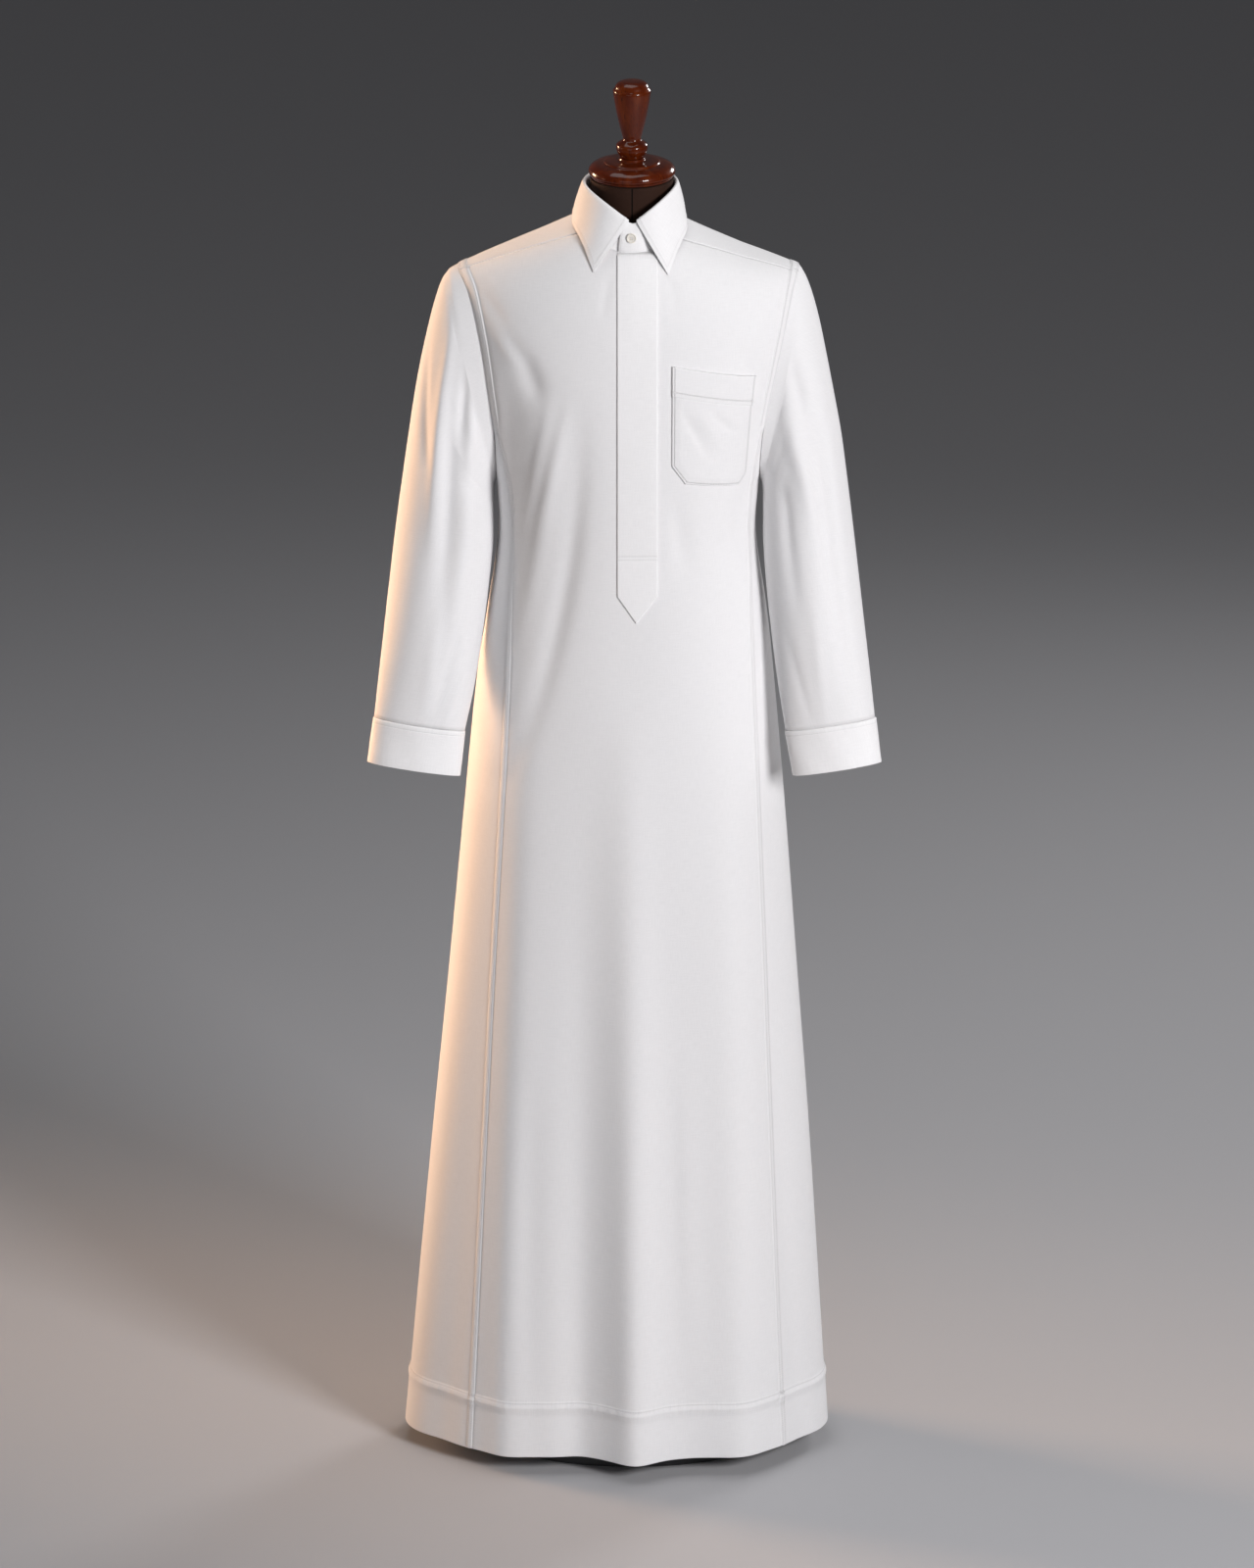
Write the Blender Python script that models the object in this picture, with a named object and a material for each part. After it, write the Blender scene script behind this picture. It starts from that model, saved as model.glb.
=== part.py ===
"""Thobe robe on a limbless dress form.

Metres, +Z up.  The front faces -Y, and +X is the wearer's left.  The origin is
on the floor, under the pole of the form.

The body of the garment is one measured surface, a ring of front and back halves
at each height, which closes over the shoulders as a dome.  Each cut piece is a
wall on its own stretch of that surface, with a small gap at every seam.
"""
import math

import bpy
import bmesh
import numpy as np

# ---------------------------------------------------------------- driving sizes
GAP = 0.0003            # between two pieces that meet
CLOTH = 0.0015          # wall of the body and the sleeves
BAND_CLOTH = 0.0018     # interlined wall: collar, cuffs
HEM_Z = 0.022           # the hem hangs this far above the floor
HEM_TOP = 0.0905        # stitch line of the turned-up hem
HEM_STEP = 0.0007       # the turn-up makes the wall this much thicker

CHEST_Z = 1.25          # the dome of the shoulders starts here
DOME_RISE = 0.25        # height-like coordinate of the dome: 0 to 1 over this
DOME_POWER = 2.75
ARM_BOTTOM, ARM_TOP = 1.225, 1.50      # armhole, in the same coordinate
ARM_REACH = 0.062                      # half its width, front to back
JUNCTION = 1.30                        # where a gore seam meets the armhole
GORE_TOP = 1.18                        # the rows above it fan out to the armhole

NECK_X, NECK_Y = -0.003, -0.008        # middle of the neckline, seen from above
NECK_HALF_X, NECK_HALF_Y = 0.0600, 0.0660
RIDGE_ROUND, RIDGE_Z = 0.066, 1.5420   # the shoulder line is straight beyond this x
SHOULDER_SLOPE = 0.402
SHOULDER_DROP = 0.0080
YOKE_BACK_Z = 1.44                     # straight back seam of the yoke

COLLAR_FRONT_Z, COLLAR_SIDE_Z, COLLAR_BACK_Z = 1.5575, 1.5900, 1.5930

PLACKET_LEFT, PLACKET_RIGHT = -0.0175, 0.0300
PLACKET_CORNER, PLACKET_TIP = 1.1135, 1.0800
PLACKET_SHORT = 0.0044   # its top edge ends this far below the neckline
PLACKET_TIP_X = 0.0049

# Sections of the body.  "left" and "right" are the half widths at the side, or
# at the armhole edge above the armpit; "front" and "back" are the half depths.
BODY_COLUMNS = ("height", "left", "right", "front", "back", "power")
BODY_SECTIONS = (
    (0.022, 0.2740, 0.2370, 0.1380, 0.1440, 2.05),
    (0.210, 0.2571, 0.2253, 0.1345, 0.1390, 2.12),
    (0.410, 0.2384, 0.2125, 0.1310, 0.1330, 2.20),
    (0.610, 0.2186, 0.1975, 0.1275, 0.1270, 2.26),
    (0.810, 0.2000, 0.1826, 0.1245, 0.1215, 2.30),
    (0.980, 0.1835, 0.1682, 0.1205, 0.1130, 2.30),
    (1.060, 0.1712, 0.1598, 0.1185, 0.1060, 2.30),
    (1.158, 0.1582, 0.1466, 0.1180, 0.1030, 2.32),
    (1.225, 0.1600, 0.1500, 0.1195, 0.1080, 2.36),
    (1.260, 0.1605, 0.1510, 0.1205, 0.1110, 2.40),
    (1.300, 0.1625, 0.1545, 0.1210, 0.1140, 2.42),
    (1.357, 0.1700, 0.1655, 0.1210, 0.1160, 2.45),
    (1.413, 0.1785, 0.1770, 0.1210, 0.1160, 2.45),
    (1.473, 0.1920, 0.1890, 0.1210, 0.1150, 2.45),
    (1.500, 0.2045, 0.1965, 0.1210, 0.1150, 2.45),
)

# The seams between the front or back and the gores, as distances from x = 0.
SEAM_COLUMNS = ("height", "left", "right")
GORE_SEAMS = (
    (0.022, 0.2000, 0.1870),
    (0.600, 0.1720, 0.1640),
    (0.950, 0.1520, 0.1480),
    (1.180, 0.1430, 0.1385),
)

# Long folds that fall from the chest and the waist.  Each follows x through
# three heights; it grows from nothing at the top and dies out at the bottom,
# unless the bottom is the hem.
FOLD_COLUMNS = ("face", "top_z", "top_x", "mid_x", "low_z", "low_x", "width", "rise")
BODY_FOLDS = (
    ("front", 1.00, -0.004, 0.000, 0.022, 0.003, 0.025, 0.0185),
    ("front", 0.95, -0.062, -0.068, 0.022, -0.075, 0.030, -0.0085),
    ("front", 1.10, -0.115, -0.135, 0.022, -0.150, 0.026, 0.0095),
    ("front", 0.80, 0.052, 0.060, 0.022, 0.070, 0.022, -0.0020),
    ("front", 1.02, 0.108, 0.122, 0.022, 0.132, 0.030, 0.0110),
    ("front", 0.90, -0.165, -0.200, 0.022, -0.240, 0.026, -0.0100),
    ("front", 0.90, 0.150, 0.178, 0.022, 0.212, 0.022, -0.0090),
    ("front", 1.36, -0.060, -0.082, 0.850, -0.152, 0.013, -0.0050),
    ("front", 1.34, -0.085, -0.106, 1.020, -0.138, 0.012, 0.0042),
    ("back", 0.98, -0.090, -0.105, 0.022, -0.125, 0.034, 0.0120),
    ("back", 0.90, -0.020, -0.022, 0.022, -0.030, 0.032, -0.0080),
    ("back", 1.02, 0.062, 0.070, 0.022, 0.080, 0.032, 0.0130),
    ("back", 1.30, -0.020, 0.000, 0.980, 0.010, 0.026, -0.0050),
)

# Rings of the sleeves from the head to the cuff.  "outer" and "inner" are the
# distances of the two edges from x = 0, and pitch leans a ring forward.
SLEEVE_COLUMNS = ("outer_z", "inner_z", "outer_L", "inner_L", "outer_R", "inner_R",
                  "middle_y", "half_depth", "pitch")
SLEEVE_RINGS = (
    (1.4805, 1.2185, 0.2150, 0.1625, 0.2003, 0.1535, -0.001, 0.0622, 0),
    (1.4680, 1.2140, 0.2235, 0.1630, 0.2066, 0.1540, -0.002, 0.0625, 0),
    (1.4470, 1.2110, 0.2310, 0.1633, 0.2138, 0.1543, -0.003, 0.0628, 0),
    (1.4170, 1.2080, 0.2388, 0.1635, 0.2215, 0.1546, -0.004, 0.0630, 1),
    (1.3800, 1.2050, 0.2472, 0.1636, 0.2290, 0.1548, -0.006, 0.0630, 2),
    (1.3350, 1.2020, 0.2556, 0.1637, 0.2376, 0.1550, -0.008, 0.0628, 4),
    (1.2850, 1.1980, 0.2632, 0.1638, 0.2467, 0.1552, -0.011, 0.0622, 6),
    (1.2350, 1.1880, 0.2704, 0.1638, 0.2535, 0.1554, -0.015, 0.0612, 8),
    (1.1750, 1.1480, 0.2787, 0.1645, 0.2610, 0.1560, -0.022, 0.0590, 10),
    (1.1150, 1.0950, 0.2860, 0.1705, 0.2682, 0.1600, -0.034, 0.0555, 11),
    (1.0600, 1.0430, 0.2925, 0.1775, 0.2748, 0.1660, -0.048, 0.0500, 12),
    (1.0050, 0.9880, 0.2990, 0.1865, 0.2815, 0.1735, -0.066, 0.0400, 12),
    (0.9517, 0.9345, 0.3052, 0.1985, 0.2877, 0.1826, -0.085, 0.0285, 12),
)
CUFF_RINGS = (
    (0.9510, 0.9338, 0.3062, 0.1978, 0.2887, 0.1819, -0.0853, 0.0290, 12),
    (0.9250, 0.9080, 0.3095, 0.2010, 0.2920, 0.1865, -0.0910, 0.0265, 12),
    (0.8998, 0.8826, 0.3128, 0.2046, 0.2952, 0.1912, -0.0965, 0.0250, 12),
)
# Drape lines of the sleeves: an angle round the sleeve (0 outside, 90 front),
# the rings between which each runs, its width in degrees, and its rise.
SLEEVE_FOLD_COLUMNS = ("side", "first_angle", "last_angle", "first_ring", "last_ring",
                       "width", "rise")
SLEEVE_FOLDS = (
    ("L", 55, 75, 1.0, 9.0, 13, 0.0050),
    ("L", 82, 100, 3.0, 11.0, 12, -0.0050),
    ("L", 120, 112, 5.0, 10.0, 12, 0.0035),
    ("L", 300, 280, 3.0, 10.0, 16, -0.0050),
    ("R", 100, 85, 1.0, 8.0, 13, 0.0040),
    ("R", 70, 60, 4.0, 11.5, 12, -0.0050),
    ("R", 300, 285, 3.0, 10.0, 16, -0.0050),
)

# Rings of the bust, from the hip cut to the top of the neck.
FORM_COLUMNS = ("height", "half_width", "front", "back", "power")
FORM_RINGS = (
    (0.800, 0.1350, 0.0980, 0.0950, 2.3),
    (0.880, 0.1450, 0.1060, 0.1040, 2.3),
    (0.960, 0.1460, 0.1060, 0.1020, 2.3),
    (1.060, 0.1340, 0.0980, 0.0890, 2.2),
    (1.140, 0.1290, 0.0960, 0.0860, 2.2),
    (1.220, 0.1370, 0.1040, 0.0930, 2.3),
    (1.300, 0.1440, 0.1070, 0.0990, 2.4),
    (1.360, 0.1530, 0.1030, 0.0990, 2.5),
    (1.410, 0.1620, 0.0920, 0.0930, 2.5),
    (1.445, 0.1700, 0.0790, 0.0820, 2.4),
    (1.470, 0.1760, 0.0640, 0.0680, 2.2),
    (1.488, 0.1780, 0.0480, 0.0520, 2.0),
    (1.4975, 0.1660, 0.0420, 0.0460, 2.0),
    (1.5100, 0.1360, 0.0440, 0.0460, 2.0),
    (1.5225, 0.1060, 0.0480, 0.0450, 2.0),
    (1.5340, 0.0760, 0.0510, 0.0450, 2.0),
    (1.5395, 0.0600, 0.0515, 0.0460, 2.0),
    (1.5445, 0.0540, 0.0515, 0.0470, 2.0),
    (1.5520, 0.0505, 0.0510, 0.0480, 2.0),
    (1.5620, 0.0490, 0.0505, 0.0490, 2.0),
    (1.5945, 0.0490, 0.0505, 0.0490, 2.0),
)

# Turned profiles, each from the top of its outer side to the bottom.
PROFILE_COLUMNS = ("radius", "height")
FINIAL_PROFILE = (
    (0.0000, 1.7120), (0.0090, 1.7115), (0.0160, 1.7092), (0.0190, 1.7060), (0.0200, 1.7035),
    (0.0225, 1.7012), (0.0226, 1.6980), (0.0208, 1.6860), (0.0176, 1.6720), (0.0144, 1.6570),
    (0.0116, 1.6440), (0.0106, 1.6400), (0.0150, 1.6372), (0.0184, 1.6340), (0.0188, 1.6295),
    (0.0176, 1.6250), (0.0142, 1.6205), (0.0140, 1.6190), (0.0000, 1.6190),
)
CAP_PROFILE = (
    (0.0000, 1.6187), (0.0150, 1.6187), (0.0158, 1.6150), (0.0325, 1.6145), (0.0333, 1.6125),
    (0.0400, 1.6118), (0.0465, 1.6095), (0.0508, 1.6055), (0.0514, 1.6020), (0.0500, 1.5985),
    (0.0490, 1.5978), (0.0488, 1.5962), (0.0470, 1.5948), (0.0000, 1.5948),
)
POLE_RADIUS = 0.016
BASE_HALF_X, BASE_HALF_Y, BASE_HEIGHT = 0.170, 0.105, 0.014

# Nominal finishes: colour, roughness, metallic.
FINISHES = {
    "poplin": ((0.86, 0.87, 0.89), 0.80, 0.0),
    "button": ((0.80, 0.77, 0.70), 0.30, 0.0),
    "jersey": ((0.045, 0.030, 0.024), 0.60, 0.0),
    "mahogany": ((0.16, 0.035, 0.012), 0.18, 0.0),
    "steel": ((0.03, 0.03, 0.03), 0.45, 0.6),
}


# ---------------------------------------------------------------- small helpers
def clear_scene():
    for thing in list(bpy.data.objects):
        bpy.data.objects.remove(thing, do_unlink=True)


def finish(name):
    """The material of that name, made on first use."""
    material = bpy.data.materials.get(name)
    if material is None:
        material = bpy.data.materials.new(name)
        material.use_nodes = True
        colour, roughness, metallic = FINISHES[name]
        shader = material.node_tree.nodes["Principled BSDF"]
        shader.inputs["Base Color"].default_value = (*colour, 1.0)
        shader.inputs["Roughness"].default_value = roughness
        shader.inputs["Metallic"].default_value = metallic
    return material


def read_table(rows, height):
    """The row at a height, on a smooth curve through the table's rows."""
    heights = [row[0] for row in rows]
    height = min(max(height, heights[0]), heights[-1])
    i = 0
    while i < len(rows) - 2 and height > heights[i + 1]:
        i += 1

    def slope(k, column):
        low, high = max(k - 1, 0), min(k + 1, len(rows) - 1)
        return (rows[high][column] - rows[low][column]) / (heights[high] - heights[low])

    span = heights[i + 1] - heights[i]
    t = (height - heights[i]) / span
    values = []
    for column in range(1, len(rows[0])):
        a, b = rows[i][column], rows[i + 1][column]
        values.append((2 * t**3 - 3 * t**2 + 1) * a + (t**3 - 2 * t**2 + t) * span * slope(i, column)
                      + (3 * t**2 - 2 * t**3) * b + (t**3 - t**2) * span * slope(i + 1, column))
    return values


def unit(vector):
    return vector / max(np.linalg.norm(vector), 1e-12)


def find_change(test, low, high):
    """Where test(x) turns from False at low to True at high."""
    for _ in range(30):
        middle = (low + high) / 2
        if test(middle):
            high = middle
        else:
            low = middle
    return (low + high) / 2


def add_object(name, vertices, faces, material, smooth_angle=40):
    """A closed mesh of triangles with its faces out, shaded smooth up to an angle."""
    mesh = bpy.data.meshes.new(name)
    mesh.from_pydata([tuple(v) for v in vertices], [], faces)
    shape = bmesh.new()
    shape.from_mesh(mesh)
    bmesh.ops.triangulate(shape, faces=shape.faces, quad_method="SHORT_EDGE")
    bmesh.ops.recalc_face_normals(shape, faces=shape.faces)
    shape.to_mesh(mesh)
    shape.free()
    mesh.materials.append(finish(material))
    mesh.shade_smooth()
    mesh.set_sharp_from_angle(angle=math.radians(smooth_angle))
    thing = bpy.data.objects.new(name, mesh)
    bpy.context.scene.collection.objects.link(thing)
    return thing


def wall_normals(points, closed):
    """Outward normals of a grid of points from its neighbours."""
    rows, columns, _ = points.shape
    normals = np.zeros_like(points)
    for i in range(rows):
        for j in range(columns):
            up = points[min(i + 1, rows - 1), j] - points[max(i - 1, 0), j]
            if closed:
                along = points[i, (j + 1) % columns] - points[i, j - 1]
            else:
                along = points[i, min(j + 1, columns - 1)] - points[i, max(j - 1, 0)]
            normals[i, j] = unit(np.cross(along, up))
    return normals


def add_wall(name, points, material, thickness=CLOTH, normals=None, closed=False, outside=None):
    """A closed wall of the given thickness about a grid of points.

    The grid's rows run up and its columns anticlockwise from above, so that the
    normals point out of the garment.  "outside" is extra thickness, one value a
    row, on the outer side alone.
    """
    rows, columns, _ = points.shape
    if normals is None:
        normals = wall_normals(points, closed)
    extra = np.zeros(rows) if outside is None else np.array(outside)
    outer = points + normals * (thickness / 2 + extra)[:, None, None]
    inner = points - normals * (thickness / 2)
    vertices = list(outer.reshape(-1, 3)) + list(inner.reshape(-1, 3))
    back = rows * columns
    faces = []
    spans = columns if closed else columns - 1
    for i in range(rows - 1):
        for j in range(spans):
            k = (j + 1) % columns
            a, b = i * columns + j, i * columns + k
            c, d = (i + 1) * columns + k, (i + 1) * columns + j
            faces.append((a, b, c, d))
            faces.append((back + d, back + c, back + b, back + a))
    for row in (0, rows - 1):
        for j in range(spans):
            a, b = row * columns + j, row * columns + (j + 1) % columns
            faces.append((b, a, back + a, back + b) if row == 0 else (a, b, back + b, back + a))
    if not closed:
        for column in (0, columns - 1):
            for i in range(rows - 1):
                a, b = i * columns + column, (i + 1) * columns + column
                faces.append((a, b, back + b, back + a) if column == 0 else (b, a, back + a, back + b))
    return add_object(name, vertices, faces, material)


def trim(points, bottom=0.0, top=0.0, first=0.0, last=0.0):
    """Draw the edges of a grid in by the given lengths."""
    result = points.copy()
    for amount, edge, inward in ((first, np.s_[:, 0], np.s_[:, 1]), (last, np.s_[:, -1], np.s_[:, -2])):
        if amount:
            steps = points[inward] - points[edge]
            result[edge] += steps / np.linalg.norm(steps, axis=1)[:, None] * amount
    for amount, edge, inward in ((bottom, 0, 1), (top, -1, -2)):
        if amount:
            steps = points[inward] - points[edge]
            result[edge] += steps / np.linalg.norm(steps, axis=1)[:, None] * amount
    return result


# ---------------------------------------------------------- the garment's surface
def shoulder_drop(x):
    """How much lower the right shoulder hangs at x."""
    return SHOULDER_DROP * min(max(x / RIDGE_ROUND, 0), 1) * (1 - 0.55 * min(max(x - 0.13, 0) / 0.07, 1))


def shoulder_z(x):
    """Height of the shoulder ridge over x, rounded across the neck."""
    reach = abs(x) / RIDGE_ROUND
    if reach < 1:
        return RIDGE_Z + SHOULDER_SLOPE * RIDGE_ROUND / 2 * (1 - reach**2) - shoulder_drop(x)
    return RIDGE_Z - SHOULDER_SLOPE * (abs(x) - RIDGE_ROUND) - shoulder_drop(x)


def dome_share(height):
    """How far up the dome a height coordinate lies, from 0 to 1."""
    return min(max((height - CHEST_Z) / DOME_RISE, 0.0), 1.0)


def dome_depth(share):
    """What is left of the chest's depth at that share of the dome."""
    return max(1 - share**DOME_POWER, 0.0) ** (1 / DOME_POWER)


def arm_reach(height):
    """Half the width of the armhole, front to back."""
    middle, half = (ARM_BOTTOM + ARM_TOP) / 2, (ARM_TOP - ARM_BOTTOM) / 2
    return ARM_REACH * math.sqrt(max(1 - ((height - middle) / half) ** 2, 0.0))


def half_section(height, right, back):
    """Width, depth and power of one quarter of the ring at a height."""
    left_side, right_side, front_depth, back_depth, power = read_table(BODY_SECTIONS, height)
    side = right_side if right else left_side
    depth = (back_depth if back else front_depth) * dome_depth(dome_share(height))
    share = min(arm_reach(height) / depth, 0.6) if depth > 0.004 else 0.45
    return side / (1 - share**power) ** (1 / power), depth, power


def lift(x, y, height):
    """World height of the point (x, y) on the ring at a height coordinate."""
    share = dome_share(height)
    if share == 0:
        return height
    nape = 0.012 * math.exp(-((x / 0.06) ** 2)) * min(max(y / 0.058, 0), 1) * share**6
    return CHEST_Z + share * (shoulder_z(x) - CHEST_Z) + nape


def plain_point(angle, height):
    """A point of the unfolded surface.  Angle 0 is +X and -90 degrees the front."""
    c, s = math.cos(angle), math.sin(angle)
    width, depth, power = half_section(height, c > 0, s > 0)
    x = math.copysign(width * abs(c) ** (2 / power), c)
    y = math.copysign(depth * abs(s) ** (2 / power), s)
    return np.array((x, y, lift(x, y, height)))


def plain_normal(angle, height):
    step = 0.002
    high = min(height + step, ARM_TOP - 0.0005)
    up = plain_point(angle, high) - plain_point(angle, high - 2 * step)
    along = plain_point(angle + step, height) - plain_point(angle - step, height)
    return unit(np.cross(along, up))


def fold_rise(x, z, face):
    """Sum of the long folds at a place on one face."""
    rise = 0.0
    for side, top_z, top_x, mid_x, low_z, low_x, width, height in BODY_FOLDS:
        if side != face or z > top_z or z < low_z - 1e-6:
            continue
        t = (top_z - z) / (top_z - low_z)
        centre = top_x * (1 - t) * (1 - 2 * t) + mid_x * 4 * t * (1 - t) + low_x * t * (2 * t - 1)
        reach_down = t**0.9 if low_z == HEM_Z else math.sin(math.pi * t) ** 1.2
        rise += height * reach_down * math.exp(-(((x - centre) / width) ** 2))
    return rise


def body_point(angle, height):
    """Point and normal of the folded surface."""
    point, normal = plain_point(angle, height), plain_normal(angle, height)
    face = "back" if math.sin(angle) > 0 else "front"
    fade = min(abs(math.sin(angle)) * 1.4, 1.0)
    return point + normal * fold_rise(point[0], point[2], face) * fade, normal


def face_angle(x, height, back):
    """The angle at which the ring of that height has the given x."""
    width, _, power = half_section(height, x > 0, back)
    c = math.copysign(min(abs(x) / width, 1.0) ** (power / 2), x)
    return math.acos(c) if back else -math.acos(c)


def seam_angle(height, right, back):
    """Edge of the front or back: the gore seam, and above it the armhole."""
    if height <= GORE_TOP:
        left_x, right_x = read_table(GORE_SEAMS, height)
        return face_angle(right_x if right else -left_x, height, back)
    if height < JUNCTION:
        low, high = seam_angle(GORE_TOP, right, back), seam_angle(JUNCTION, right, back)
        share = (height - GORE_TOP) / (JUNCTION - GORE_TOP)
        return low + (high - low) * share**1.5
    _, depth, power = half_section(height, right, back)
    share = min(arm_reach(height) / depth, 0.6) if depth > 0.004 else 0.45
    lean = math.asin(share ** (power / 2))
    if not right:
        lean = math.pi - lean
    return lean if back else -lean


def yoke_front_y(x):
    """Depth of the yoke's front seam, which runs towards the ridge at the arm."""
    return 0.042 - 0.026 * (abs(x) - 0.063) / 0.137


def in_neck(point):
    return math.hypot((point[0] - NECK_X) / NECK_HALF_X, (point[1] - NECK_Y) / NECK_HALF_Y) < 1


LOW_ROWS = (HEM_Z, 0.056, HEM_TOP, 0.0955, 0.160, 0.230, 0.300, 0.370, 0.440, 0.510, 0.580,
            0.650, 0.720, 0.790, 0.860, 0.925, 0.985, 1.040, 1.090, 1.135, GORE_TOP)
ARMPIT_ROWS = (1.225, 1.250, 1.276, JUNCTION)
CHEST_ROWS = 8          # rows from the junction to the yoke's front seam
BLADE_ROWS = 4          # rows from the junction to the yoke's back seam
HEM_ROWS = [HEM_STEP if height <= HEM_TOP else 0.0 for height in LOW_ROWS]


def panel_grid(columns, heights_of):
    """Points and normals of a panel; heights_of(share) lists one column's rows."""
    points, normals = [], []
    for share in np.linspace(0, 1, columns):
        column = [body_point(angle, height) for angle, height in heights_of(share)]
        points.append([point for point, _ in column])
        normals.append([normal for _, normal in column])
    return np.array(points).transpose(1, 0, 2), np.array(normals).transpose(1, 0, 2)


def across(share, height, back):
    """Angle at a share of the way across the front or back, left to right seen
    from that side's own outside."""
    first, last = seam_angle(height, back, back), seam_angle(height, not back, back)
    return first + (last - first) * share


def front_top(share):
    """Where a column of the front ends: the yoke seam or the neckline."""
    def past(height):
        point = plain_point(across(share, height, False), height)
        return in_neck(point) or abs(point[1]) < yoke_front_y(point[0])
    return find_change(past, 1.40, 1.4995)


def back_top(share):
    def past(height):
        return plain_point(across(share, height, True), height)[2] > YOKE_BACK_Z
    return find_change(past, 1.35, 1.49)


def dome_rows(top, count):
    """Heights from the junction to the top, closer together near the ridge."""
    low = math.asin(min(dome_share(JUNCTION), 1) ** (DOME_POWER / 2))
    high = math.asin(min(dome_share(top), 1) ** (DOME_POWER / 2))
    turns = [low + (high - low) * k / count for k in range(1, count + 1)]
    return [CHEST_Z + DOME_RISE * math.sin(turn) ** (2 / DOME_POWER) for turn in turns]


def front_column(share):
    heights = LOW_ROWS + ARMPIT_ROWS + tuple(dome_rows(front_top(share), CHEST_ROWS))
    return [(across(share, height, False), height) for height in heights]


def back_column(share):
    heights = LOW_ROWS + ARMPIT_ROWS + tuple(dome_rows(back_top(share), BLADE_ROWS))
    return [(across(share, height, True), height) for height in heights]


def gore_angle(share, height, right):
    """Angle across a gore, anticlockwise from above."""
    if right:
        first, last = seam_angle(height, True, False), seam_angle(height, True, True)
    else:
        first, last = seam_angle(height, False, True), seam_angle(height, False, False) + math.tau
    return first + (last - first) * share


def gore_top(share, right):
    """Where a column of a gore meets the armhole."""
    if share in (0, 1):
        return JUNCTION

    def below(height):
        point = plain_point(gore_angle(share, height, right), height)
        return abs(point[1]) > arm_reach(height)
    if not below(ARM_BOTTOM):
        return ARM_BOTTOM
    return find_change(lambda height: not below(height), ARM_BOTTOM, JUNCTION)


def gore_column(share, right):
    top = gore_top(share, right)
    fans = [GORE_TOP + (height - GORE_TOP) / (JUNCTION - GORE_TOP) * (top - GORE_TOP)
            for height in ARMPIT_ROWS]
    return [(gore_angle(share, height, right), height) for height in LOW_ROWS + tuple(fans)]


# ------------------------------------------------------------------ body panels
FRONT_COLUMNS, BACK_COLUMNS, GORE_COLUMNS = 25, 19, 7


def add_body():
    """Front, back and gores.  Returns the grids, which the armholes need."""
    grids = {}
    grids["front"] = panel_grid(FRONT_COLUMNS, front_column)
    grids["back"] = panel_grid(BACK_COLUMNS, back_column)
    grids["side_gore_L"] = panel_grid(GORE_COLUMNS, lambda share: gore_column(share, False))
    grids["side_gore_R"] = panel_grid(GORE_COLUMNS, lambda share: gore_column(share, True))
    for name, (points, normals) in grids.items():
        hem = HEM_ROWS + [0.0] * (len(points) - len(HEM_ROWS))
        edges = trim(points, top=GAP, first=GAP / 2, last=GAP / 2)
        add_wall(name, edges, "poplin", normals=normals, outside=hem)
    return grids


# ------------------------------------------------------------------------- yoke
YOKE_END_COLUMNS, YOKE_BACK_COLUMNS, YOKE_ROWS = 4, 14, 6


def ridge_turn(x, y):
    """How far the point (x, y) of the dome leans from the ridge, as an angle."""
    back, right = y > 0, x > 0

    def past(height):
        width, depth, power = half_section(height, right, back)
        return depth * max(1 - (abs(x) / width) ** power, 0) ** (1 / power) < abs(y)
    if abs(y) < 1e-6:
        return 0.0
    low = ARM_TOP - 0.0001
    while past(low) and low > JUNCTION:
        low -= 0.004
    share = dome_share(find_change(past, low, min(low + 0.004, ARM_TOP - 0.0001)))
    return math.copysign(math.acos(min(share ** (DOME_POWER / 2), 1)), y)


def ridge_point(x, turn):
    """The point of the dome at x, leaning from the ridge by an angle."""
    height = CHEST_Z + DOME_RISE * math.cos(turn) ** (2 / DOME_POWER)
    width, _, power = half_section(height, x > 0, turn > 0)
    depth = read_table(BODY_SECTIONS, height)[3 if turn > 0 else 2]
    depth *= abs(math.sin(turn)) ** (2 / DOME_POWER)
    y = math.copysign(depth * max(1 - (abs(x) / width) ** power, 0) ** (1 / power), turn)
    return np.array((x, y, lift(x, y, height)))


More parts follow.
